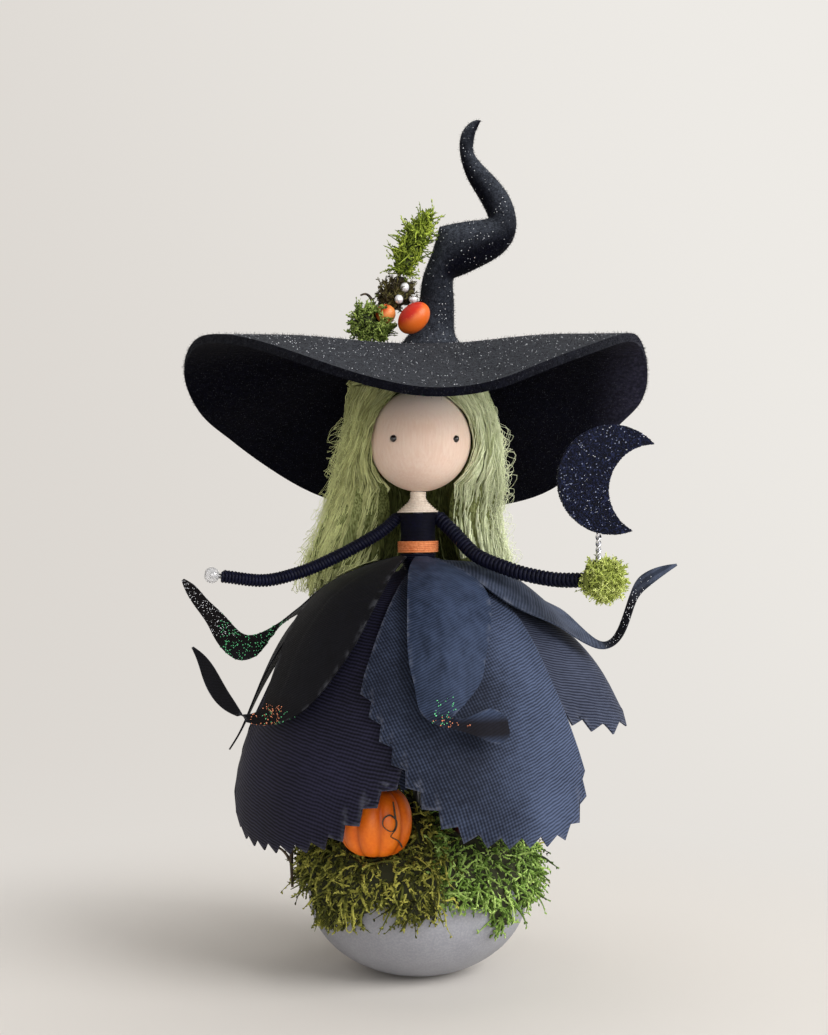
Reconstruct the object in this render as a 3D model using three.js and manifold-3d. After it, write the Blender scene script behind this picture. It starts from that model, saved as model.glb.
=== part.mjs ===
// A small craft witch doll on a pebble: wooden bead head, yarn hair, felt hat, petal skirt, wire arms.
// Millimetres, +Z up, the doll faces -Y, origin at the centre of the pebble's flat underside.
import * as THREE from "three";
import { mergeVertices } from "three/addons/utils/BufferGeometryUtils.js";
import Module from "manifold-3d";

const wasm = await Module();
wasm.setup();

// Driving dimensions
const clearance = 0.3; // between pieces that touch
const stoneWidth = 54.4;
const stoneFullHeight = 40; // before its foot is ground flat
const footDiameter = 16;
const postDiameter = 2.4;
const postSocketDepth = 11;
const waistAboveStone = 62.2;
const waistCoreDiameter = 6;
const waistCoreLength = 9;
const beltDiameter = 9.5;
const beltHeight = 2.3;
const beltTurns = 5;
const beltRelief = 0.12;
const bodiceHeight = 6.6;
const bodiceTopDiameter = 9.2;
const bodiceWaistDiameter = 8.4;
const bodiceTurns = 6;
const bodiceRelief = 0.07;
const neckHeight = 5;
const neckTurns = 5;
const neckDiameter = 3.8;
const neckFlareDiameter = 10.6;
const headDiameter = 25;
const headShift = 0.4; // the head sits a little towards +X
const faceTurn = 7; // degrees that the face is turned towards +X
const eyeSpread = 37.8; // degrees from the middle of the face to each eye
const eyeDiameter = 1.8;
const hairOnCrown = 8.6; // yarn between the head's top and the hat
const brimThickness = 2;
const brimHoleDiameter = 10;
const brimFlatRadius = 9;
const brimSideLift = 1.4;
const crownWall = 1.6;
const crownShift = 3.2;
const clothThickness = 0.4;
const layerPitch = 1.2;
const toothPitch = 5.2;
const toothDepth = 2.4;
const mossThickness = 4.6;
const mossBump = 1.1;
const mossSeat = 0.65; // from the pebble, so that the moss's flat facets clear its curve
const mossTopAngle = 20; // degrees from the pebble's top, where the moss starts
const pumpkinRadius = 9;
const pumpkinHalfHeight = 8.8;
const pumpkinRibs = 9;
const pumpkinRibDepth = 0.8;
const pumpkinAzimuth = -22.6;
const pumpkinInset = 1.7; // from the pebble's widest edge
const pumpkinLift = 5.4; // its underside over the pebble, on the moss
const tendrilDiameter = 0.6;
const darkBerryDiameter = 5;
const darkBerryAzimuth = 30.5;
const darkBerryInset = 7.5; // from the pebble's widest edge
const armWireDiameter = 1.2;
const leftSleeveDiameter = 3.2;
const rightSleeveDiameter = 3.7;
const threadPitch = 1.9;
const threadRelief = 0.14;
const handBeadDiameter = 4.2;
const mossBallDiameter = 10.2;
const wandWireDiameter = 1.5;
const wandWireLength = 5.8;
const wandSocketDepth = 2.4;
const moonRadius = 12.6;
const moonBiteRadius = 10.7;
const moonBiteX = 9.8;
const moonBiteZ = -2.4;
const moonThickness = 3;
const moonShift = 3.1; // from the wire to the moon's middle
const twigDiameter = 1.5;

// Skirt profile under the petals: radius and height below the waist
const skirtOutline = [
  [3.4, -5.6], [14.5, -9.1], [23.7, -14.8], [29.6, -21.7], [33.9, -30.6],
  [38.2, -42], [41, -53], [41.6, -60], [39.8, -67],
];

// Materials
const finish = (color, roughness, metalness = 0) =>
  new THREE.MeshStandardMaterial({ color, roughness, metalness });
const colours = {
  stone: () => finish(0x7c7d84, 0.55),
  wire: () => finish(0x9a9a9c, 0.35, 0.9),
  silver: () => finish(0xd8d8da, 0.25, 0.9),
  mossDark: () => finish(0x4f5320, 0.95),
  mossOlive: () => finish(0x6b6d2c, 0.95),
  mossBright: () => finish(0x7f9a3c, 0.95),
  mossLime: () => finish(0x9cab4e, 0.95),
  pumpkin: () => finish(0xc9641c, 0.45),
  berry: () => finish(0xd9722e, 0.35),
  darkBerry: () => finish(0x5c1f17, 0.45),
  twig: () => finish(0x4a3a2c, 0.9),
  twill: () => finish(0x2d3448, 0.8),
  satin: () => finish(0x2a2f3d, 0.6),
  thread: () => finish(0x0d0f1e, 0.8),
  beltThread: () => finish(0xd9803f, 0.7),
  neckThread: () => finish(0xe8dccc, 0.8),
  wood: () => finish(0xd9b79c, 0.5),
  black: () => finish(0x120f10, 0.3),
  yarn: () => finish(0x9aa468, 0.95),
  felt: () => finish(0x1b1c20, 0.95),
  glitter: () => finish(0x20222c, 0.6, 0.2),
  glass: () => finish(0xe4e4e6, 0.1),
};

const doll = new THREE.Group();

function addPiece(name, geometry, material, parent = doll) {
  const mesh = new THREE.Mesh(geometry, material);
  mesh.name = name;
  parent.add(mesh);
  return mesh;
}

const vec = (x, y, z) => new THREE.Vector3(x, y, z);
const lerp = THREE.MathUtils.lerp;
const rad = THREE.MathUtils.degToRad;

function smooth(from, to, value) {
  const t = THREE.MathUtils.clamp((value - from) / (to - from), 0, 1);
  return t * t * (3 - 2 * t);
}

// A closed mesh from points and triangles, turned so that its faces point out.
function closedGeometry(points, faces) {
  let volume = 0;
  for (const [a, b, c] of faces) {
    volume += points[a].dot(points[b].clone().cross(points[c]));
  }
  const order = volume < 0 ? faces.map(([a, b, c]) => [a, c, b]) : faces;
  const geometry = new THREE.BufferGeometry();
  geometry.setFromPoints(points);
  geometry.setIndex(order.flat());
  return geometry;
}

function toSolid(geometry) {
  const bare = geometry.clone();
  bare.deleteAttribute("normal");
  bare.deleteAttribute("uv");
  const merged = mergeVertices(bare, 1e-4);
  const mesh = new wasm.Mesh({
    numProp: 3,
    vertProperties: merged.attributes.position.array,
    triVerts: new Uint32Array(merged.index.array),
  });
  return new wasm.Manifold(mesh);
}

function fromSolid(solid) {
  const { numProp, vertProperties, triVerts } = solid.getMesh();
  const points = [];
  for (let i = 0; i < vertProperties.length; i += numProp) {
    points.push(vec(vertProperties[i], vertProperties[i + 1], vertProperties[i + 2]));
  }
  const geometry = new THREE.BufferGeometry();
  geometry.setFromPoints(points);
  geometry.setIndex(Array.from(triVerts));
  return geometry;
}

// Cuts the other geometries out of the first and keeps its largest piece.
function cut(geometry, ...tools) {
  let solid = toSolid(geometry);
  for (const tool of tools) solid = solid.subtract(toSolid(tool));
  const bodies = solid.decompose();
  bodies.sort((a, b) => b.volume() - a.volume());
  return fromSolid(bodies[0]);
}

function join(...geometries) {
  let solid = toSolid(geometries[0]);
  for (const other of geometries.slice(1)) solid = solid.add(toSolid(other));
  return fromSolid(solid);
}

// A turned piece about +Z from a closed profile of [radius, height].
function turned(profile, segments = 24) {
  const outline = profile.map(([r, z]) => new THREE.Vector2(r, z));
  return new THREE.LatheGeometry(outline, segments).rotateX(Math.PI / 2);
}

function ball(radius, centre, across = 12, up = 8) {
  const geometry = new THREE.SphereGeometry(radius, across, up).rotateX(Math.PI / 2);
  return geometry.translate(centre.x, centre.y, centre.z);
}

function rod(radius, from, to, sides = 12) {
  const length = from.distanceTo(to);
  const geometry = new THREE.CylinderGeometry(radius, radius, length, sides);
  geometry.translate(0, length / 2, 0);
  const along = to.clone().sub(from).normalize();
  geometry.applyQuaternion(new THREE.Quaternion().setFromUnitVectors(vec(0, 1, 0), along));
  return geometry.translate(from.x, from.y, from.z);
}

// Rings of points joined in order, each end closed by a fan to its middle.
function loft(rings) {
  const count = rings[0].length;
  const points = rings.flat();
  const faces = [];
  for (let i = 0; i < rings.length - 1; i++) {
    for (let j = 0; j < count; j++) {
      const a = i * count + j;
      const b = i * count + ((j + 1) % count);
      faces.push([a, b, b + count], [a, b + count, a + count]);
    }
  }
  for (const [ring, start] of [[rings[0], 0], [rings.at(-1), (rings.length - 1) * count]]) {
    const middle = ring.reduce((sum, p) => sum.add(p), vec(0, 0, 0)).divideScalar(count);
    points.push(middle);
    for (let j = 0; j < count; j++) {
      const edge = [start + j, start + ((j + 1) % count)];
      if (start === 0) edge.reverse();
      faces.push([...edge, points.length - 1]);
    }
  }
  return closedGeometry(points, faces);
}

// Rings of a round tube along a curve; radiusAt gives its radius from 0 to 1 along it.
function tubeRings(curve, radiusAt, steps, sides) {
  const frames = curve.computeFrenetFrames(steps, false);
  const rings = [];
  for (let i = 0; i <= steps; i++) {
    const centre = curve.getPointAt(i / steps);
    const ring = [];
    for (let j = 0; j < sides; j++) {
      const turn = (2 * Math.PI * j) / sides;
      const radius = radiusAt(i / steps);
      ring.push(
        centre
          .clone()
          .addScaledVector(frames.normals[i], radius * Math.cos(turn))
          .addScaledVector(frames.binormals[i], radius * Math.sin(turn)),
      );
    }
    rings.push(ring);
  }
  return rings;
}

const tube = (...settings) => loft(tubeRings(...settings));

// A grid of (u, v) from 0 to 1, as points and triangles.
function gridPlan(columns, rows) {
  const points = [];
  const faces = [];
  for (let i = 0; i <= rows; i++) {
    for (let j = 0; j <= columns; j++) points.push([j / columns, i / rows]);
  }
  for (let i = 0; i < rows; i++) {
    for (let j = 0; j < columns; j++) {
      const a = i * (columns + 1) + j;
      const b = a + columns + 1;
      faces.push([a, a + 1, b + 1], [a, b + 1, b]);
    }
  }
  return { points, faces };
}

// A closed sheet between an outer and an inner surface over the same plan.
function thickSheet(plan, outerAt, innerAt) {
  const count = plan.points.length;
  const points = [...plan.points.map(outerAt), ...plan.points.map(innerAt)];
  const faces = [];
  const open = new Map();
  for (const [a, b, c] of plan.faces) {
    faces.push([a, b, c], [a + count, c + count, b + count]);
    for (const [from, to] of [[a, b], [b, c], [c, a]]) {
      if (!open.delete(`${to} ${from}`)) open.set(`${from} ${to}`, [from, to]);
    }
  }
  for (const [from, to] of open.values()) {
    faces.push([to, from, from + count], [to, from + count, to + count]);
  }
  return closedGeometry(points, faces);
}

// Heights that follow from the dimensions
const stoneRadius = stoneWidth / 2;
const stoneHalf = stoneFullHeight / 2;
const footCut = stoneHalf * (1 - Math.sqrt(1 - (footDiameter / stoneWidth) ** 2));
const stoneMiddle = stoneHalf - footCut;
const stoneTop = stoneMiddle + stoneHalf;
const waist = stoneTop + waistAboveStone;
const beltBottom = waist + clearance;
const beltTop = beltBottom + beltHeight;
const bodiceBottom = beltTop + clearance;
const bodiceTop = bodiceBottom + bodiceHeight;
const neckBottom = bodiceTop + clearance;
const neckTop = neckBottom + neckHeight;
const headRadius = headDiameter / 2;
const headSeat = Math.sqrt(headRadius ** 2 - (neckDiameter / 2) ** 2);
const headMiddle = neckTop + clearance + headSeat;
const headTop = headMiddle + headRadius;
const hatSeat = headTop + hairOnCrown + brimThickness;
const postRadius = postDiameter / 2;
const boreRadius = postRadius + clearance;

// Stone: an ellipsoid pebble with a flat foot and a drilled socket for the post
function stonePoint(angleDown, azimuth, offset = 0) {
  const radius = stoneRadius * Math.sin(angleDown);
  const height = stoneHalf * Math.cos(angleDown);
  const normal = new THREE.Vector2(radius / stoneRadius ** 2, height / stoneHalf ** 2).normalize();
  const r = radius + normal.x * offset;
  const z = stoneMiddle + height + normal.y * offset;
  return vec(r * Math.sin(azimuth), -r * Math.cos(azimuth), z);
}

function stoneHeightAt(radius) {
  return stoneMiddle + stoneHalf * Math.sqrt(1 - (radius / stoneRadius) ** 2);
}

const stoneProfile = [[0, 0], [footDiameter / 2, 0]];
const footAngle = Math.PI - Math.asin(footDiameter / stoneWidth);
const stoneSteps = 11;
for (let i = 1; i < stoneSteps; i++) {
  const p = stonePoint(lerp(footAngle, Math.asin(boreRadius / stoneRadius), i / stoneSteps), 0);
  stoneProfile.push([-p.y, p.z]);
}
const socketBottom = stoneTop - postSocketDepth;
stoneProfile.push([boreRadius, stoneHeightAt(boreRadius)], [boreRadius, socketBottom], [0, socketBottom]);
addPiece("base_stone", turned(stoneProfile, 24), colours.stone());

// Armature post, from the pebble's socket up into the head's bore
const postTop = headMiddle + headRadius * 0.6;
const post = [
  [0, socketBottom + clearance],
  [postRadius, socketBottom + clearance],
  [postRadius, postTop],
  [0, postTop],
];
addPiece("armature_post", turned(post, 12), colours.wire());

// Waist core, belt, bodice and neck, all wound thread about the post
function woundProfile(outline, turns, relief, bore) {
  const curve = new THREE.SplineCurve(outline.map(([r, z]) => new THREE.Vector2(r, z)));
  const profile = [[bore, outline[0][1]]];
  for (let i = 0; i <= 2 * turns; i++) {
    const p = curve.getPoint(i / (2 * turns));
    profile.push([p.x + (i % 2 ? relief : -relief), p.y]);
  }
  profile.push([bore, outline.at(-1)[1]], profile[0]);
  return profile;
}

const coreRadius = waistCoreDiameter / 2;
const core = [
  [boreRadius, waist - waistCoreLength],
  [coreRadius, waist - waistCoreLength],
  [coreRadius, beltTop],
  [boreRadius, beltTop],
  [boreRadius, waist - waistCoreLength],
];
addPiece("waist_core", turned(core, 14), colours.thread());

const beltRadius = beltDiameter / 2;
const belt = [[beltRadius, beltBottom], [beltRadius, beltTop]];
const beltProfile = woundProfile(belt, beltTurns, beltRelief, coreRadius + clearance);
addPiece("waist_belt", turned(beltProfile, 14), colours.beltThread());

const shoulderSocket = Math.max(leftSleeveDiameter, rightSleeveDiameter) / 2 + 2 * clearance;
const shoulderHeight = bodiceTop - 0.7;
const shoulderOut = bodiceTopDiameter / 2 + clearance;
const bodiceMiddle = lerp(bodiceBottom, bodiceTop, 0.45);
const socketTools = [-1, 1].map((side) => ball(shoulderSocket, vec(side * shoulderOut, 0, shoulderHeight)));
const bodice = [
  [bodiceWaistDiameter / 2, bodiceBottom],
  [bodiceWaistDiameter / 2, bodiceMiddle],
  [bodiceTopDiameter / 2, bodiceTop],
];
const bodiceGeometry = turned(woundProfile(bodice, bodiceTurns, bodiceRelief, boreRadius), 14);
addPiece("bodice", cut(bodiceGeometry, ...socketTools), colours.thread());

const neck = [
  [neckFlareDiameter / 2, neckBottom],
  [neckFlareDiameter / 2, neckBottom + 0.5],
  [neckFlareDiameter * 0.36, neckBottom + neckHeight * 0.28],
  [neckDiameter / 2 + 0.3, neckBottom + neckHeight * 0.55],
  [neckDiameter / 2, neckTop],
];
const neckGeometry = turned(woundProfile(neck, neckTurns, bodiceRelief, boreRadius), 14);
addPiece("neck_wrap", cut(neckGeometry, ...socketTools), colours.neckThread());

// Head bead with its bore, and two black bead eyes let into it
const headCentre = vec(headShift, 0, headMiddle);
const eyeRadius = eyeDiameter / 2;

function eyeCentre(side) {
  const turn = rad(faceTurn + side * eyeSpread);
  const reach = headRadius - 0.45 * eyeRadius;
  return headCentre.clone().add(vec(reach * Math.sin(turn), -reach * Math.cos(turn), 0));
}

const headBore = rod(boreRadius, vec(0, 0, neckTop - 2), vec(0, 0, headTop + 2));
const eyeSockets = [-1, 1].map((side) => ball(eyeRadius + clearance, eyeCentre(side)));
const headBall = ball(headRadius, headCentre, 22, 14);
addPiece("head_bead", cut(headBall, headBore, ...eyeSockets), colours.wood());
addPiece("eye_left", ball(eyeRadius, eyeCentre(-1), 10, 6), colours.black());
addPiece("eye_right", ball(eyeRadius, eyeCentre(1), 10, 6), colours.black());

// Hat brim: a felt disc draped over the crown of the hair. Rim points are x, y and
// height over the hat's seat, from the front, round the +X side to the back.
const brimRim = [
  [0, -55, -14.6], [15, -53, -13.4], [28.5, -47, -7.6], [40, -38, -3], [47.3, -25, 0.4],
  [53.3, -8, 1], [56.7, 4, -5.6], [55.8, 12, -12.3], [50.4, 18, -17.5], [38.3, 27, -32],
  [24.5, 35, -37.2], [0, 39, -39.3], [-24.6, 36, -36.3], [-43.7, 27, -24.2], [-49.4, 20, -19.4],
  [-54.9, 13, -14.7], [-58, 5, -5.6], [-54.8, -6, -0.4], [-48.7, -22, 0.5], [-38.8, -37, -1.8],
  [-28.8, -46, -5.4], [-15.6, -52.5, -10.5],
];
const rimCurve = new THREE.CatmullRomCurve3(
  brimRim.map(([x, y, z]) => vec(x, y, z)),
  true,
  "centripetal",
);

function brimPoint(u, t) {
  const rim = rimCurve.getPoint(u % 1);
  const reach = Math.hypot(rim.x, rim.y);
  const radius = lerp(brimHoleDiameter / 2, reach, t);
  const share = Math.max(0, (radius - brimFlatRadius) / (reach - brimFlatRadius));
  const sideways = (rim.x / reach) ** 2;
  const drop = rim.z * share * smooth(-0.3, 0.35, share);
  const lift = brimSideLift * sideways * Math.sin(Math.PI * Math.min(1, share)) ** 2;
  return vec((rim.x * radius) / reach, (rim.y * radius) / reach, hatSeat + drop + lift);
}

function brimNormal(u, t) {
  const step = 0.004;
  const across = brimPoint(u + step, t).sub(brimPoint(u + 1 - step, t));
  const low = Math.max(0, t - step);
  const outward = brimPoint(u, low + 2 * step).sub(brimPoint(u, low));
  return outward.cross(across).normalize();
}

const brimAround = 38;
const brimRings = [0, 0.12, 0.32, 0.55, 0.78, 1];

// The sheet between two offsets from the brim's upper face.
function brimSheet(upper, lower) {
  const points = [];
  const faces = [];
  const rows = brimRings.length;
  for (const offset of [upper, lower]) {
    for (const t of brimRings) {
      for (let j = 0; j < brimAround; j++) {
        const u = j / brimAround;
        points.push(brimPoint(u, t).addScaledVector(brimNormal(u, t), offset));
      }
    }
  }
  const at = (side, i, j) => (side * rows + i) * brimAround + (j % brimAround);
  for (let j = 0; j < brimAround; j++) {
    for (let i = 0; i < rows - 1; i++) {
      faces.push([at(0, i, j), at(0, i + 1, j), at(0, i + 1, j + 1)]);
      faces.push([at(0, i, j), at(0, i + 1, j + 1), at(0, i, j + 1)]);
      faces.push([at(1, i, j), at(1, i + 1, j + 1), at(1, i + 1, j)]);
      faces.push([at(1, i, j), at(1, i, j + 1), at(1, i + 1, j + 1)]);
    }
    for (const i of [0, rows - 1]) {
      const quad = [at(0, i, j), at(0, i, j + 1), at(1, i, j + 1), at(1, i, j)];
      if (i > 0) quad.reverse();
      faces.push([quad[0], quad[1], quad[2]], [quad[0], quad[2], quad[3]]);
    }
  }
  return closedGeometry(points, faces);
}

addPiece("hat_brim", brimSheet(0, -brimThickness), colours.felt());

// Hat crown: each ring runs from its left edge to its right edge, x and height over the
// seat, with its half depth. The cone folds over to +X and its tail curls up.
const crownEdges = [
  [-8.3, 0.4, 8.3, 0.4, 8], [-5.9, 2, 5.8, 2, 6], [-4.2, 5.9, 5.8, 5.9, 4.9],
  [-2.7, 11.2, 5.8, 11.2, 4.3], [-2.7, 16.6, 5.3, 16.1, 4.2], [0, 22, 5.8, 16.6, 4.3],
  [1.9, 29.3, 7.8, 16.9, 4.8], [7.5, 30.5, 10.5, 18.3, 4.8], [11.9, 30.9, 15.1, 20.5, 4.5],
  [13.7, 31.1, 18.5, 23, 4.2], [13.9, 31.4, 20.7, 26.4, 3.8], [13.4, 32.4, 21.3, 30.8, 3.5],
  [12.2, 34.9, 19.5, 36.6, 3.2], [10.5, 37.6, 16.3, 40.5, 2.9], [8.5, 41, 13.4, 43.4, 2.4],
  [7.3, 44.7, 10.9, 45.9, 1.9], [6.7, 48.3, 10.2, 47.8, 1.7], [7, 51.2, 10.5, 50.8, 1.6],
  [8, 53.2, 11.2, 53, 1.4], [10, 54.9, 12.2, 54.9, 0.8],
];
const crownSides = 12;
const crownHollowRings = 5;

function crownLoft(extra, rings = crownEdges) {
  return loft(
    rings.map(([leftX, leftZ, rightX, rightZ, depth]) => {
      const left = vec(crownShift + leftX, 0, hatSeat + leftZ);
      const right = vec(crownShift + rightX, 0, hatSeat + rightZ);
      const middle = left.clone().add(right).divideScalar(2);
      const half = left.distanceTo(right) / 2 + extra;
      const along = right.clone().sub(left).normalize();
      const ring = [];
      for (let j = 0; j < crownSides; j++) {
        const turn = (2 * Math.PI * j) / crownSides;
        const point = middle.clone().addScaledVector(along, half * Math.cos(turn));
        ring.push(point.add(vec(0, (depth + extra) * Math.sin(turn), 0)));
      }
      return ring;
    }),
  );
}

const crownHollow = crownLoft(-crownWall, [
  [-8.3, -1, 8.3, -1, 8],
  ...crownEdges.slice(1, crownHollowRings),
]);
addPiece("hat_crown", cut(crownLoft(0), crownHollow), colours.felt());

// Skirt petals lie over one bell-shaped profile, each in its own layer
const bell = new THREE.SplineCurve(skirtOutline.map(([r, z]) => new THREE.Vector2(r, z)));
const bellLength = bell.getLength();

// The bell's radius, height and outward direction at a distance down from the waist
function bellAt(distance) {
  const inside = THREE.MathUtils.clamp(distance, 0, bellLength);
  const point = bell.getPointAt(inside / bellLength);
  const tangent = bell.getTangentAt(inside / bellLength);
  point.addScaledVector(tangent, distance - inside);
  return { radius: point.x, height: waist + point.y, outX: -tangent.y, outZ: tangent.x };
}

function bellPoint(azimuth, across, distance, offset) {
  const at = bellAt(distance);
  const turn = rad(azimuth) + across / Math.max(at.radius, coreRadius);
  const radius = at.radius + at.outX * offset;
  return vec(radius * Math.sin(turn), -radius * Math.cos(turn), at.height + at.outZ * offset);
}

// Plan of a petal in [across, distance down]: two side curves start at the waist and end
// at the corners of the hem, and the hem between the corners is pinked into teeth.
const petalRowShares = [0, 0.13, 0.27, 0.4, 0.53, 0.67, 0.82, 0.96];

function pinkedPlan({ outline, firstCorner, lastCorner }) {
  const curveOf = (points) => new THREE.SplineCurve(points.map(([a, s]) => new THREE.Vector2(a, s)));
  const leftSide = curveOf(outline.slice(0, firstCorner + 1));
  const hem = curveOf(outline.slice(firstCorner, lastCorner + 1));
  const rightSide = curveOf(outline.slice(lastCorner).reverse());
  const columns = Math.round(hem.getLength() / toothPitch);
  const points = [];
  const faces = [];
  for (const share of petalRowShares) {
    for (let j = 0; j <= columns; j++) {
      const u = j / columns;
      const pull = hem.getPointAt(u).sub(hem.getPoint(0).lerp(hem.getPoint(1), u));
      const point = leftSide.getPointAt(share).lerp(rightSide.getPointAt(share), u);
      point.addScaledVector(pull, share);
      points.push([point.x, point.y]);
    }
  }
  const lastRow = (petalRowShares.length - 1) * (columns + 1);
  for (let a = 0; a < lastRow; a++) {
    const b = a + columns + 1;
    if ((a + 1) % (columns + 1)) faces.push([a, a + 1, b + 1], [a, b + 1, b]);
  }
  const rimStart = points.length;
  for (let i = 0; i <= 2 * columns; i++) {
    const u = i / (2 * columns);
    const tangent = hem.getTangentAt(u);
    const reach = (i % 2 ? toothDepth : -toothDepth) / 2;
    const rim = hem.getPointAt(u);
    points.push([rim.x - tangent.y * reach, rim.y + tangent.x * reach]);
  }
  for (let j = 0; j < columns; j++) {
    const a = lastRow + j;
    const rim = rimStart + 2 * j;
    faces.push([a, rim + 1, rim], [a, a + 1, rim + 1], [a + 1, rim + 2, rim + 1]);
  }
  return { points, faces };
}

// Five big petals with pinked hems. Outlines run down the -X side, along the hem and up
// the +X side; firstCorner and lastCorner number the points where the pinking runs.
const fullOutline = [
  [-2.2, 0], [-9.5, 12], [-15.5, 24], [-20.5, 35], [-25, 46], [-29.5, 56], [-29.5, 66], [-23, 74],
  [-9, 78.5], [7, 78.5], [21, 75], [29, 67], [29.5, 57], [25, 46], [20.5, 35], [15.5, 24], [9.5, 12],
  [2.2, 0],
];
const bigPetals = [
  {
    name: "skirt_petal_front_right",
    azimuth: 25,
    layer: 2.1,
    firstCorner: 4,
    lastCorner: 14,
    outline: [
      [-2.2, 0], [-9, 10], [-15.5, 20], [-21, 29], [-26.5, 40], [-25.3, 46.5], [-23.3, 53.5],
      [-20.2, 60.5], [-16, 67], [-9.5, 72.3], [-1, 74.3], [8, 75], [17, 75], [24, 69], [25.5, 60],
      [22.5, 49], [18.7, 38], [16.2, 28.5], [14, 19.5], [9, 10], [2.2, 0],
    ],
  },
  {
    name: "skirt_petal_front_left",
    azimuth: -47,
    layer: 1,
    firstCorner: 5,
    lastCorner: 12,
    lift: (across, down) => 1.3 * smooth(40, 60, down) * smooth(-6, -26, across),
    outline: [
      [-2.2, 0], [-9, 11], [-15, 22], [-20, 33], [-24.5, 44], [-30, 55], [-31.3, 64], [-28, 73],
      [-19, 78.3], [-6, 79], [6, 77.3], [17.5, 72.8], [29.6, 60.5], [27, 49], [21, 37], [15.5, 24],
      [9.5, 12], [2.2, 0],
    ],
  },
  {
    name: "skirt_petal_right",
    azimuth: 95,
    layer: 0.9,
    firstCorner: 5,
    lastCorner: 12,
    lift: (across, down) => 11 * smooth(12, 50, down) * smooth(-21, -2, across),
    outline: [
      [-2.2, 0], [-9, 10], [-15, 20], [-20, 30], [-23.5, 39], [-23.3, 46], [-19, 50.5],
      [-14.5, 53.5], [-8.5, 56.3], [-2.5, 55.5], [3, 52.8], [10, 51], [17, 48.5], [19, 40],
      [16, 30], [13, 20], [8.5, 10], [2.2, 0],
    ],
  },
  {
    name: "skirt_petal_back",
    azimuth: 169,
    layer: 1.6,
    firstCorner: 5,
    lastCorner: 12,
    outline: fullOutline,
  },
  {
    name: "skirt_petal_left",
    azimuth: -119,
    layer: -0.3,
    firstCorner: 5,
    lastCorner: 12,
    outline: fullOutline,
  },
];

for (const petal of bigPetals) {
  const plan = pinkedPlan(petal);
  const lift = petal.lift ?? (() => 0);
  const surface = (offset) => ([across, down]) => {
    const total = petal.layer * layerPitch + offset + lift(across, down);
    return bellPoint(petal.azimuth, across, down, total);
  };
  const geometry = thickSheet(plan, surface(clothThickness), surface(0));
  addPiece(petal.name, geometry, colours.twill());
}

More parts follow.
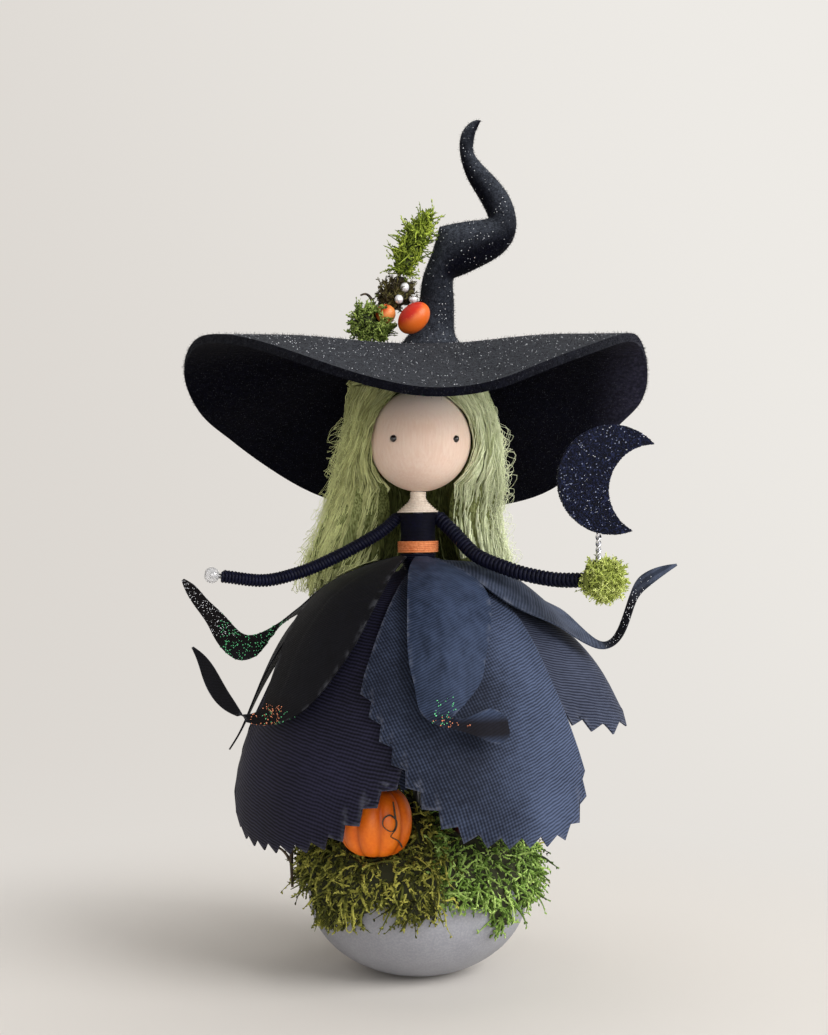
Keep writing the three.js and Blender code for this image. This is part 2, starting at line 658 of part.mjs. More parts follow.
// Over petals: rows across the bell, [down, left reach, right reach], then a free tail of
// [centre x, y, height below the waist] and [half width x, y, z].
const overPetals = [
  {
    name: "over_petal_front",
    azimuth: 10,
    layer: 4,
    rows: [
      [0, 1, 1], [7, 3.6, 6], [14, 5, 10.6], [22, 6.3, 12.2], [30, 7.2, 9.8], [37, 7.5, 7.6],
      [42, 6.4, 6.6],
    ],
    tail: [
      [3.4, -41.8, -34.8, 3.4, 0, -0.4], [6.5, -43.4, -36, 1.6, 0, 0.9], [9.6, -44, -36.3, 0.2, 0, 1.3],
      [12.6, -43.8, -36.5, -0.2, 0, 2.4], [15.8, -42.8, -36.7, -0.6, 0, 3.9],
      [18.2, -41.8, -37, -0.7, 0, 3.6], [19.7, -41, -37.1, -0.3, 0, 1.6],
    ],
  },
  {
    name: "over_petal_left_front",
    azimuth: -52,
    layer: 4,
    rows: [
      [0, 1, 1], [7, 5, 5], [14, 9, 9], [20, 10.4, 12], [26, 8.6, 13.8], [32, 7, 14.6],
      [38, 6, 13.2], [44, 6, 11], [49, 5.5, 7.4],
    ],
    tail: [
      [-36.6, -21.8, -38, 1.8, -1.4, -1.2], [-39.9, -20.2, -37.8, 0.2, -0.2, -0.9],
      [-42.4, -18, -36.6, 0.7, 0, 0.9], [-45.9, -16, -33.6, 1.6, 0, 1.1],
      [-48.8, -14, -29.1, 1.7, 0, 1], [-50.9, -12, -25, 1.1, 0, 0.6],
      [-53.6, -10, -22.2, 0.25, 0, 0.15],
    ],
  },
  {
    name: "over_petal_left_side",
    azimuth: -92,
    layer: 3,
    rows: [[0, 1, 1], [7, 4.6, 4.6], [14, 8, 8], [22, 10.5, 10.5], [30, 11, 11], [38, 9, 9], [45, 5, 5]],
    tail: [[-41.4, -2, -39.6, 0, -2.4, 0], [-43.2, -3, -43.6, 0, -1.2, 0], [-45.6, -3.5, -47.4, 0, -0.25, 0]],
  },
  {
    name: "over_petal_left_back",
    azimuth: -121,
    layer: 4,
    rows: [[0, 1, 1], [7, 4.5, 4.5], [14, 8, 8], [20, 9.5, 9.5]],
    tail: [
      [-31, 13.4, -14.4, 3.6, -4.6, 2.4], [-36.5, 12, -20.6, 2, -1.6, 3],
      [-41, 12.5, -23.8, 0.9, -0.6, 3.2], [-44.8, 13.5, -24.2, 1.4, -0.4, 3.2],
      [-48.3, 13.5, -21.2, 2.6, 0, 1.6], [-50.8, 13, -17, 1.9, 0, 1.4],
      [-54.4, 12, -13, 1.3, 0, 1.1], [-56.8, 11, -9.4, 1.2, 0, 1],
      [-58.8, 10, -6.9, 0.3, 0, 0.25],
    ],
  },
  {
    name: "over_petal_right",
    azimuth: 88,
    layer: 3.2,
    arch: 3.6,
    rows: [[0, 1, 1], [6, 5, 4], [12, 9.6, 7], [18, 13, 8.8], [23, 14, 9]],
    tail: [
      [33.4, -5.4, -14.6, 0.4, 8.2, 2], [37.4, -5.4, -18, 0.7, 4.8, 1.4],
      [41.4, -5.6, -21, 0.4, 2.6, 0.9], [45, -6, -22.4, 0, 1.6, 0.6], [48, -7, -20, -0.5, 1.2, 0.5],
      [50.2, -7, -14.7, -0.7, 0.8, 0.4], [51.8, -7, -9.6, -0.9, 0, 0.6], [54.3, -7, -6.4, -1.2, 0, 1.3],
      [58.4, -7, -4, -0.6, 0, 1], [62, -7, -2.6, -0.1, 0, 0.25],
    ],
  },
  {
    name: "over_petal_back",
    azimuth: 165,
    layer: 4,
    rows: [
      [0, 1, 1], [7, 5.4, 5.4], [14, 9, 9], [22, 12, 12], [30, 13, 13], [38, 11.5, 11],
      [44, 7.5, 6.5], [48, 4, 3],
    ],
    tail: [
      [11.9, 42, -37.4, 2, 0.6, -0.4], [13, 45.2, -39.2, 1.2, 0.4, 0],
      [14.6, 48.6, -38, 2, 0.6, 0], [16, 50.8, -33.8, 2.2, 0.6, 0], [17, 51.6, -29, 0.3, 0.1, 0],
    ],
  },
];

// Control rows of an over petal: left, middle and right points of its middle surface
function petalRows(petal) {
  const arch = petal.arch ?? 0;
  const rows = petal.rows.map(([down, left, right]) => {
    const offset = petal.layer * layerPitch + clothThickness / 2;
    const middle = offset + arch * smooth(0, 14, down);
    return [
      bellPoint(petal.azimuth, -left, down, offset),
      bellPoint(petal.azimuth, (right - left) / 2, down, middle),
      bellPoint(petal.azimuth, right, down, offset),
    ];
  });
  for (const [x, y, z, halfX, halfY, halfZ] of petal.tail) {
    const centre = vec(x, y, waist + z);
    const half = vec(halfX, halfY, halfZ);
    rows.push([centre.clone().sub(half), centre, centre.clone().add(half)]);
  }
  return rows;
}

function overPetalGeometry(petal) {
  const control = petalRows(petal);
  const curves = [0, 1, 2].map(
    (j) => new THREE.CatmullRomCurve3(control.map((row) => row[j]), false, "centripetal"),
  );
  const plan = gridPlan(4, Math.round(1.4 * (control.length - 1)));
  const middleAt = (u, v) => {
    const [left, middle, right] = curves.map((curve) => curve.getPoint(v));
    const bow = middle.clone().multiplyScalar(2).sub(left.clone().add(right).divideScalar(2));
    return left
      .multiplyScalar((1 - u) ** 2)
      .addScaledVector(bow, 2 * u * (1 - u))
      .addScaledVector(right, u ** 2);
  };
  const step = 0.01;
  const surface = (offset) => ([u, v]) => {
    const acrossTangent = middleAt(u + step, v).sub(middleAt(u - step, v));
    const low = THREE.MathUtils.clamp(v - step, 0, 1 - 2 * step);
    const downTangent = middleAt(u, low + 2 * step).sub(middleAt(u, low));
    const normal = acrossTangent.cross(downTangent).normalize();
    return middleAt(u, v).addScaledVector(normal, offset);
  };
  return thickSheet(plan, surface(clothThickness / 2), surface(-clothThickness / 2));
}

for (const petal of overPetals) addPiece(petal.name, overPetalGeometry(petal), colours.satin());

// Everything above the skirt keeps clear of this bell
const bellTopOffset = 4 * layerPitch + clothThickness + 2 * clearance;
const bellFloor = waist - waistCoreLength - 30;
const bellProfile = [];
for (let i = 0; i <= 8; i++) {
  const at = bellAt((bellLength * 0.55 * i) / 8);
  bellProfile.unshift([at.radius + at.outX * bellTopOffset, at.height + at.outZ * bellTopOffset]);
}
const bellSolid = turned(
  [[0, bellFloor], [bellProfile[0][0], bellFloor], ...bellProfile, [0, bellProfile.at(-1)[1]]],
  32,
);
const brimKeepOut = brimSheet(24, -brimThickness - clearance);

// Yarn hair: a curtain round the head from one side of the face to the other, by levels
// of [height over the head's middle, left reach, right reach, back reach, front reach,
// shift back, least inner radius, face opening at the left, at the right in degrees].
const hairTopLevel = headRadius + clearance;
const hairLevels = [
  [hairTopLevel, 5, 3.7, -3.5, -3.5, 0, 5.5, 50, 50],
  [6, 5.7, 6.1, 0, -2.5, 0, 0, 62, 80],
  [0, 6.2, 7.3, 1.5, -2.5, 0, 0, 65, 84],
  [-6, 7.9, 7.8, 1.5, -3.5, 0, 0, 76, 84],
  [-12.4, 9.6, 8.3, 1, -6.5, 2, 7.5, 82, 84],
  [-18, 11.6, 7.6, 0.5, -9, 5, 7, 86, 86],
  [-24, 14, 8.6, 0.5, -10, 6, 8, 86, 86],
  [-29, 16, 10.1, 0.5, -10, 6.5, 9.5, 86, 86],
  [-33, 18, 10.5, 0.5, -10, 7, 11, 86, 86],
  [-37, 18.6, 10.5, 0.5, -10, 7, 12, 86, 86],
];

function hairLevelAt(height) {
  let i = 0;
  while (i < hairLevels.length - 2 && hairLevels[i + 1][0] > height) i++;
  const share = (height - hairLevels[i][0]) / (hairLevels[i + 1][0] - hairLevels[i][0]);
  return hairLevels[i].map((value, k) => lerp(value, hairLevels[i + 1][k], share));
}

// A point of the curtain: side runs from 0 at the right of the face to 1 at its left.
function hairPoint(side, height, outer) {
  const [, left, right, back, front, shift, floor, openLeft, openRight] = hairLevelAt(height);
  const azimuth = rad(lerp(openRight, 360 - openLeft, side));
  const sin = Math.sin(azimuth);
  const cos = Math.cos(azimuth);
  const wide = headRadius + (sin > 0 ? right : left);
  const deep = headRadius + (cos > 0 ? front : back);
  const overHead = headRadius + 2.5 * clearance;
  const inside = Math.max(floor, Math.sqrt(Math.max(0, overHead ** 2 - height ** 2)));
  const x = outer ? wide * sin : inside * sin;
  const y = outer ? -deep * cos : -inside * cos;
  return vec(headShift + x, shift + y, headMiddle + height);
}

const hairLocks = [
  { name: "hair_right", from: 0, to: 0.3, end: [-30, -32] },
  { name: "hair_back", from: 0.32, to: 0.655, end: [-32, -34] },
  { name: "hair_left", from: 0.685, to: 1, end: [-34, -37] },
];
const hairRows = [hairTopLevel, 10, 6, 1, -4, -9, -12.4, -18, -24, -29];
for (const lock of hairLocks) {
  const plan = gridPlan(6, hairRows.length);
  const surface = (outer) => ([u, v]) => {
    const row = Math.round(v * hairRows.length);
    const height = hairRows[row] ?? lerp(lock.end[0], lock.end[1], u);
    return hairPoint(lerp(lock.from, lock.to, u), height, outer);
  };
  const curtain = thickSheet(plan, surface(true), surface(false));
  addPiece(lock.name, cut(curtain, bellSolid, brimKeepOut), colours.yarn());
}

// Crown of the hair: a low dome between the head's top and the hat
const domeRings = [];
for (const [rise, share] of [[0, 1], [0.35, 0.97], [0.7, 0.82], [0.92, 0.55], [1, 0.2]]) {
  const ring = [];
  for (let j = 0; j < 16; j++) {
    const azimuth = (2 * Math.PI * j) / 16;
    const wide = Math.sin(azimuth) > 0 ? headRadius + 3.7 : headRadius + 5;
    const deep = headRadius - 3.5;
    const z = headMiddle + hairTopLevel + clearance + rise * (hairOnCrown - 3 * clearance);
    ring.push(vec(headShift + share * wide * Math.sin(azimuth), -share * deep * Math.cos(azimuth), z));
  }
  domeRings.push(ring);
}
addPiece("hair_crown", cut(loft(domeRings), brimKeepOut), colours.yarn());

// Moss over the pebble's upper half: azimuth range and lower edge height at three places
const mossGap = 2.2; // degrees between patches
const mossPatches = [
  { name: "base_moss_left", from: -95, to: -52, low: [22, 18, 13], material: colours.mossOlive() },
  { name: "base_moss_front", from: -52, to: 12, low: [13, 19, 18], material: colours.mossOlive() },
  { name: "base_moss_right", from: 12, to: 92, low: [22, 13, 20], material: colours.mossBright() },
  { name: "base_moss_back_right", from: 92, to: 178, low: [20, 17, 21], material: colours.mossDark() },
  { name: "base_moss_back_left", from: 178, to: 265, low: [21, 17, 21], material: colours.mossDark() },
];

function bumpAt(azimuth, angleDown) {
  return Math.sin(7 * azimuth + 3 * angleDown) * Math.cos(9 * angleDown - 2 * azimuth);
}

function aroundStone(azimuth, reach, height) {
  return vec(reach * Math.sin(rad(azimuth)), -reach * Math.cos(rad(azimuth)), height);
}

const darkBerryRadius = darkBerryDiameter / 2;
const darkBerryReach = stoneRadius - darkBerryInset;
const darkBerryHeight = stoneHeightAt(darkBerryReach) + darkBerryRadius + 3 * clearance;
const darkBerry = aroundStone(darkBerryAzimuth, darkBerryReach, darkBerryHeight);
const pumpkinReach = stoneRadius - pumpkinInset;
const pumpkinHeight = stoneHeightAt(pumpkinReach) + pumpkinHalfHeight + pumpkinLift;
const pumpkinCentre = aroundStone(pumpkinAzimuth, pumpkinReach, pumpkinHeight);

// A squat globe with its poles drawn in and ribs of the given depth
function pumpkinPoint(turn, climb, ribDepth, extra) {
  const rib = ribDepth * (Math.abs(Math.sin((pumpkinRibs * turn) / 2)) - 1);
  const radius = (pumpkinRadius + rib + extra) * Math.cos(climb) ** 0.8;
  const height = (pumpkinHalfHeight + extra) * Math.sin(climb) * (1 - 0.16 * Math.sin(climb) ** 12);
  return vec(radius * Math.cos(turn), radius * Math.sin(turn), height).add(pumpkinCentre);
}

function pumpkinLoft(around, ribDepth, extra = 0) {
  const rings = [];
  for (let i = 1; i < 10; i++) {
    const climb = lerp(-Math.PI / 2, Math.PI / 2, i / 10);
    const ring = [];
    for (let j = 0; j < around; j++) {
      ring.push(pumpkinPoint((2 * Math.PI * j) / around, climb, ribDepth, extra));
    }
    rings.push(ring);
  }
  return loft(rings);
}

const pumpkinKeepOut = pumpkinLoft(20, 0, 1.8 * clearance);
const berryKeepOut = ball(darkBerryRadius + clearance, darkBerry, 12, 8);
const postKeepOut = rod(boreRadius, vec(0, 0, stoneTop - 5), vec(0, 0, stoneTop + 20));

for (const patch of mossPatches) {
  const plan = gridPlan(7, 7);
  const [lowFrom, lowMiddle, lowTo] = patch.low;
  const surface = (outer) => ([u, v]) => {
    const azimuth = rad(lerp(patch.from, patch.to - mossGap, u));
    const low = u < 0.5 ? lerp(lowFrom, lowMiddle, 2 * u) : lerp(lowMiddle, lowTo, 2 * u - 1);
    const lowest = Math.acos((low - stoneMiddle) / stoneHalf);
    const angle = lerp(rad(mossTopAngle), lowest, v);
    const edge = Math.sin(Math.PI * Math.min(1, v * 0.9 + 0.16)) ** 0.4;
    const thick = (mossThickness + mossBump * bumpAt(azimuth, angle)) * edge;
    return stonePoint(angle, azimuth, outer ? mossSeat + thick : mossSeat);
  };
  const sheet = thickSheet(plan, surface(true), surface(false));
  addPiece(patch.name, cut(sheet, pumpkinKeepOut, berryKeepOut, postKeepOut), patch.material);
}

// Pumpkin, its stalk and its tendril
addPiece("pumpkin", pumpkinLoft(3 * pumpkinRibs, pumpkinRibDepth), colours.pumpkin());
const stalkFoot = pumpkinCentre.clone().add(vec(0, 0, pumpkinHalfHeight * 0.87 + 2 * clearance));
const stalkCurve = new THREE.CatmullRomCurve3([
  stalkFoot,
  stalkFoot.clone().add(vec(0.4, 0, 1.6)),
  stalkFoot.clone().add(vec(1.6, 0, 2.8)),
]);
addPiece("pumpkin_stalk", tube(stalkCurve, (t) => lerp(1.5, 0.9, t), 5, 8), colours.twig());

// The tendril runs over the pumpkin: turn and climb in degrees
const tendrilRoute = [
  [-58, 62], [-60, 38], [-66, 22], [-74, 12], [-78, -2], [-70, -10], [-62, -2], [-56, -16],
  [-48, -30],
];
const tendrilLoops = [0, 0, 0.3, 0.6, 0.6, 0.6, 1, 0.4, 0.2];
const tendrilPoints = tendrilRoute.map(([turn, climb], i) => {
  const lift = clearance + tendrilDiameter / 2 + pumpkinRibDepth + tendrilLoops[i];
  const direction = vec(
    Math.cos(rad(climb)) * Math.cos(rad(turn)),
    Math.cos(rad(climb)) * Math.sin(rad(turn)),
    Math.sin(rad(climb)),
  );
  return pumpkinCentre.clone().addScaledVector(direction, pumpkinRadius - 0.4 + lift);
});
const tendrilCurve = new THREE.CatmullRomCurve3(tendrilPoints);
addPiece("pumpkin_tendril", tube(tendrilCurve, () => tendrilDiameter / 2, 20, 5), colours.twig());
addPiece("dark_berry", ball(darkBerryRadius, darkBerry, 12, 8), colours.darkBerry());

// Twig that hangs outside the moss at the left
const twigTop = stonePoint(rad(62), rad(-84), mossSeat + mossThickness + mossBump + twigDiameter);
const twigTrunk = new THREE.CatmullRomCurve3([
  twigTop.clone().add(vec(2.2, 0, 4.5)),
  twigTop,
  twigTop.clone().add(vec(-0.4, 0, -6)),
  twigTop.clone().add(vec(-0.2, 0, -12.5)),
]);
const twigBranch = new THREE.CatmullRomCurve3([
  twigTop.clone().add(vec(-0.4, 0, -6.5)),
  twigTop.clone().add(vec(-2.6, -0.3, -3.4)),
  twigTop.clone().add(vec(-4.2, -0.3, -2.6)),
  twigTop.clone().add(vec(-6.6, -0.3, -1.6)),
]);
const twigRadius = twigDiameter / 2;
addPiece(
  "base_twig",
  join(
    tube(twigTrunk, (t) => lerp(twigRadius, twigRadius * 0.5, t), 8, 7),
    tube(twigBranch, (t) => lerp(twigRadius * 0.6, twigRadius * 0.3, t), 6, 6),
  ),
  colours.twig(),
);

// Arms: points from the shoulder, x outwards. The first point is the shoulder itself.
const armRoutes = {
  left: [
    [0, 0, 0], [3.4, -1, -3.1], [8.9, -3.2, -6.5], [17.5, -6.5, -10.9], [23.3, -9, -13.2],
    [31.3, -12, -15], [41.2, -15, -13.9],
  ],
  right: [
    [0, 0, 0], [4.1, -3, -4.1], [8.7, -7, -8.9], [14.5, -11, -11.6], [21.4, -14, -13.7],
    [28.2, -17, -14.7], [34.4, -20, -14.6],
  ],
};

function armCurve(side) {
  const sign = side === "left" ? -1 : 1;
  const shoulder = vec(sign * shoulderOut, 0, shoulderHeight);
  const points = armRoutes[side].map(([x, y, z]) => vec(sign * x, y, z).add(shoulder));
  return new THREE.CatmullRomCurve3(points, false, "centripetal");
}

// Thread wound over an arm: one helical ridge, two rows of eight points a turn. The
// shoulder end is a half ball about the bend, the hand end is flat.
function woundSleeve(curve, radius) {
  const length = curve.getLength();
  const sides = 8;
  const straight = 2 * radius;
  const turns = Math.floor((length - 2 * straight) / threadPitch);
  const rows = 2 * turns;
  const pitch = (length - 2 * straight) / (turns + 1);
  const frameSteps = 200;
  const frames = curve.computeFrenetFrames(frameSteps, false);
  const points = [];
  const ringPoint = (distance, turn, r) => {
    const share = THREE.MathUtils.clamp(distance / length, 0, 1);
    const frame = Math.round(share * frameSteps);
    const angle = (2 * Math.PI * turn) / sides;
    return curve
      .getPointAt(share)
      .addScaledVector(frames.normals[frame], r * Math.cos(angle))
      .addScaledVector(frames.binormals[frame], r * Math.sin(angle));
  };
  const addRing = (distance, r, back = 0) => {
    const start = points.length;
    for (let j = 0; j < sides; j++) {
      points.push(ringPoint(distance, j, r).addScaledVector(frames.tangents[0], -back));
    }
    return (j) => start + (j % sides);
  };
  const faces = [];
  const band = (low, high, columns = sides) => {
    for (let j = 0; j < columns; j++) {
      faces.push([low(j), low(j + 1), high(j + 1)], [low(j), high(j + 1), high(j)]);
    }
  };
  points.push(curve.getPoint(0).addScaledVector(frames.tangents[0], -radius));
  const ballRings = [65, 32].map((degrees) =>
    addRing(0, radius * Math.cos(rad(degrees)), radius * Math.sin(rad(degrees))),
  );
  for (let j = 0; j < sides; j++) faces.push([0, ballRings[0](j + 1), ballRings[0](j)]);
  const shoulderRing = addRing(0, radius);
  const plainStart = addRing(straight, radius);
  band(ballRings[0], ballRings[1]);
  band(ballRings[1], shoulderRing);
  band(shoulderRing, plainStart);
  const helixStart = points.length;
  for (let i = 0; i <= rows; i++) {
    for (let j = 0; j < sides; j++) {
      const distance = straight + (i / 2 + j / sides) * pitch;
      points.push(ringPoint(distance, j, radius + (i % 2 ? threadRelief : -threadRelief)));
    }
  }
  const at = (i, j) => helixStart + (j === sides ? (i + 2) * sides : i * sides + j);
  for (let i = 0; i < rows; i++) {
    const columns = i + 3 <= rows ? sides : sides - 1;
    for (let j = 0; j < columns; j++) {
      faces.push([at(i, j), at(i, j + 1), at(i + 1, j + 1)], [at(i, j), at(i + 1, j + 1), at(i + 1, j)]);
    }
  }
  band(plainStart, (j) => at(0, j), sides - 1);
  const seamStart = [plainStart(0), at(0, 0), at(1, 0), at(2, 0), at(0, 7)];
  for (let k = 0; k < 4; k++) faces.push([plainStart(7), seamStart[k], seamStart[k + 1]]);
  const plainEnd = addRing(length, radius);
  band((j) => at(rows, j), plainEnd, sides - 1);
  const seamEnd = [plainEnd(0), plainEnd(7), at(rows, 7), at(rows - 1, 7), at(rows - 2, 7)];
  for (let k = 0; k < 4; k++) faces.push([at(rows, 0), seamEnd[k], seamEnd[k + 1]]);
  points.push(curve.getPoint(1));
  for (let j = 0; j < sides; j++) faces.push([points.length - 1, plainEnd(j), plainEnd(j + 1)]);
  return closedGeometry(points, faces);
}

const wireRadius = armWireDiameter / 2;

// The part of a curve from one distance to another, carried on straight past its end.
function stretch(curve, from, past) {
  const length = curve.getLength();
  const points = [];
  for (let i = 0; i <= 12; i++) points.push(curve.getPointAt(lerp(from / length, 1, i / 12)));
  points.push(curve.getPoint(1).addScaledVector(curve.getTangent(1), past));
  return new THREE.CatmullRomCurve3(points, false, "centripetal");
}

function arm(side, diameter, wirePast) {
  const curve = armCurve(side);
  const radius = diameter / 2;
  const path = stretch(curve, radius, wirePast + 2);
  const bore = loft(tubeRings(path, () => wireRadius + clearance, 14, 6));
  const wire = loft(tubeRings(path, () => wireRadius, 14, 6).slice(1, -1));
  addPiece(`arm_${side}_sleeve`, cut(woundSleeve(curve, radius), bore), colours.thread());
  addPiece(`arm_${side}_wire`, wire, colours.wire());
  return curve;
}

const leftArm = arm("left", leftSleeveDiameter, handBeadDiameter * 0.7);
const handOut = leftArm.getTangent(1);
const handCentre = leftArm.getPoint(1).addScaledVector(handOut, handBeadDiameter / 2 + clearance);
const handBore = rod(
  wireRadius + clearance,
  handCentre.clone().addScaledVector(handOut, -handBeadDiameter),
  handCentre.clone().addScaledVector(handOut, handBeadDiameter),
);
const handBall = ball(handBeadDiameter / 2, handCentre, 12, 8);
addPiece("hand_bead_left", cut(handBall, handBore), colours.glass());

const mossBallRadius = mossBallDiameter / 2;
const rightArm = arm("right", rightSleeveDiameter, mossBallRadius * 0.6);
const palmOut = rightArm.getTangent(1);
const mossBallCentre = rightArm.getPoint(1).addScaledVector(palmOut, mossBallRadius * 0.8);

// A lump of moss: a ball with low bumps, stretched by the given radii.
function mossLump(centre, radii, across = 12, up = 8) {
  const geometry = new THREE.SphereGeometry(1, across, up).rotateX(Math.PI / 2);
  const position = geometry.attributes.position;
  for (let i = 0; i < position.count; i++) {
    const p = new THREE.Vector3().fromBufferAttribute(position, i);
    const swell = 1 + 0.07 * Math.sin(5 * p.x + 2) * Math.cos(6 * p.z - 1) + 0.05 * Math.sin(7 * p.y);
    p.multiplyScalar(swell).multiply(radii).add(centre);
    position.setXYZ(i, p.x, p.y, p.z);
  }
  return geometry;
}

const palmBack = (distance) => rightArm.getPoint(1).addScaledVector(palmOut, distance);
const sleevePocket = rod(
  rightSleeveDiameter / 2 + 2 * clearance,
  palmBack(-mossBallDiameter),
  palmBack(clearance),
);
const wirePocket = rod(wireRadius + clearance, palmBack(-1), palmBack(mossBallRadius * 0.6 + 2 * clearance));
const mossBallSize = vec(mossBallRadius, mossBallRadius, mossBallRadius);
addPiece(
  "wand_moss_ball",
  cut(mossLump(mossBallCentre, mossBallSize), sleevePocket, wirePocket),
  colours.mossLime(),
);

// Wand: a twisted pair of wires that stands on the moss ball and carries the moon
const wandFoot = mossBallCentre.clone().add(vec(-1.4, 0, mossBallRadius + clearance));
const wandRings = [];
const wandSteps = 14;
for (let i = 0; i <= wandSteps; i++) {
  const ring = [];
  for (let j = 0; j < 8; j++) {
    const turn = (2 * Math.PI * j) / 8;
    const spin = (2 * Math.PI * 1.5 * i) / wandSteps;
    const wide = (wandWireDiameter / 2) * Math.cos(turn);
    const slim = (wandWireDiameter / 4) * Math.sin(turn);
    ring.push(
      vec(
        wandFoot.x + wide * Math.cos(spin) - slim * Math.sin(spin),
        wandFoot.y + wide * Math.sin(spin) + slim * Math.cos(spin),
        wandFoot.z + (wandWireLength + wandSocketDepth) * (i / wandSteps),
      ),
    );
  }
  wandRings.push(ring);
}
addPiece("wand_wire", loft(wandRings), colours.silver());

// Moon: a crescent between two arcs, cut from a thick sheet
const biteDistance = Math.hypot(moonBiteX, moonBiteZ);
const biteTurn = Math.atan2(moonBiteZ, moonBiteX);
const outerHalf = Math.acos(
  (moonRadius ** 2 + biteDistance ** 2 - moonBiteRadius ** 2) / (2 * moonRadius * biteDistance),
);
const biteHalf = Math.acos(
  (moonBiteRadius ** 2 + biteDistance ** 2 - moonRadius ** 2) / (2 * moonBiteRadius * biteDistance),
);
const crescent = new THREE.Shape();
crescent.absarc(0, 0, moonRadius, biteTurn + outerHalf, biteTurn - outerHalf + 2 * Math.PI, false);
crescent.absarc(
  moonBiteX,
  moonBiteZ,
  moonBiteRadius,
  biteTurn + Math.PI + biteHalf,
  biteTurn + Math.PI - biteHalf,
  true,
);
const moonLift = Math.sqrt(moonRadius ** 2 - moonShift ** 2) - 0.3;
const moonCentre = wandFoot.clone().add(vec(moonShift, 0, wandWireLength + moonLift));
const moonSheet = new THREE.ExtrudeGeometry(crescent, {
  depth: moonThickness,
  bevelEnabled: false,
  curveSegments: 20,
});
moonSheet.rotateX(Math.PI / 2).translate(moonCentre.x, moonCentre.y + moonThickness / 2, moonCentre.z);
const wandTop = wandFoot.z + wandWireLength;
const moonSocket = rod(
  wandWireDiameter / 2 + clearance,
  vec(wandFoot.x, wandFoot.y, wandTop - 3),
  vec(wandFoot.x, wandFoot.y, wandTop + wandSocketDepth + clearance),
);
addPiece("moon", cut(moonSheet, moonSocket), colours.glitter());

// Hat trim at the crown's front left, each piece cut clear of what it leans on
const crownKeepOut = crownLoft(clearance);
const brimTopKeepOut = brimSheet(clearance, -brimThickness);
const trim = (x, y, z) => vec(x, y, hatSeat + z);
const berryRight = { centre: trim(-1, -9, 5.7), radii: vec(4.7, 3.4, 3.3), tilt: 45 };
const berryLeft = { centre: trim(-7.8, -6.4, 7), radii: vec(2.6, 2.4, 2.4), tilt: 0 };

function berryGeometry({ centre, radii, tilt }, extra = 0) {
  const geometry = new THREE.SphereGeometry(1, 12, 8).rotateX(Math.PI / 2);
  geometry.scale(radii.x + extra, radii.y + extra, radii.z + extra);
  geometry.rotateY(-rad(tilt));
  return geometry.translate(centre.x, centre.y, centre.z);
}

const berryTools = [berryGeometry(berryRight, clearance), berryGeometry(berryLeft, clearance)];
addPiece("hat_berry_right", cut(berryGeometry(berryRight), crownKeepOut), colours.berry());
addPiece("hat_berry_left", cut(berryGeometry(berryLeft), crownKeepOut), colours.berry());

const beadSpots = [[-3.2, -6.4, 13.4, 1.2], [-4.6, -7.4, 10.4, 1.15], [-1.2, -6.4, 10.6, 1.15]];
const beadCentres = beadSpots.map(([x, y, z]) => trim(x, y, z));
beadSpots.forEach(([, , , radius], i) => {
  addPiece(`hat_bead_${i + 1}`, ball(radius, beadCentres[i], 9, 6), colours.silver());
});
const beadTools = beadSpots.map(([, , , radius], i) =>
  ball(radius + 1.5 * clearance, beadCentres[i], 8, 5),
);

const mossLow = mossLump(trim(-11.3, -6.8, 4.6), vec(5.7, 4.2, 4.9));
addPiece(
  "hat_moss_low",
  cut(mossLow, crownKeepOut, brimTopKeepOut, ...berryTools, ...beadTools),
  colours.mossOlive(),
);
const mossDark = mossLump(trim(-5.6, -4.2, 12), vec(4.8, 3.2, 3.9));
const mossLowTool = mossLump(trim(-11.3, -6.8, 4.6), vec(5.7 + clearance, 4.2 + clearance, 4.9 + clearance));
addPiece(
  "hat_moss_dark",
  cut(mossDark, crownKeepOut, mossLowTool, ...berryTools, ...beadTools),
  colours.mossDark(),
);
const tallCurve = new THREE.CatmullRomCurve3([
  trim(-3.6, -4.8, 16.3 + clearance),
  trim(-3, -5, 19.4),
  trim(-1.2, -5.2, 24.2),
  trim(1.4, -5, 28.4),
  trim(2.8, -4.6, 30.8),
]);
const tallTuft = tube(tallCurve, (t) => lerp(2.2, 1.6, t) + 1.7 * Math.sin(Math.PI * t), 8, 8);
addPiece("hat_moss_tall", cut(tallTuft, crownKeepOut), colours.mossBright());
const hatTwigCurve = new THREE.CatmullRomCurve3([
  trim(-11.1, -4.2, 10.5),
  trim(-11.8, -4.3, 11.6),
  trim(-12.7, -4.4, 12.1),
  trim(-13.9, -4.6, 11.7),
]);
addPiece("hat_twig", tube(hatTwigCurve, (t) => lerp(0.5, 0.25, t), 6, 6), colours.twig());

export default doll;
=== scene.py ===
# %% [markdown]
# # A small craft witch doll
# This lesson dresses the solids of a hand-made doll. The doll is about 207 mm tall: a wooden
# bead for a head, loose wool for hair, a wide felt hat, fabric petals for a skirt, arms of
# wound thread, and a pebble with moss and a small pumpkin to stand on.
# The solids are loaded first. Each one either keeps its shape and gets a better surface, or
# is replaced by a finer piece that lies in the same place.

# %% Load the solids
import math
import bmesh
import bpy
import numpy as np
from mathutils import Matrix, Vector
from mathutils.bvhtree import BVHTree


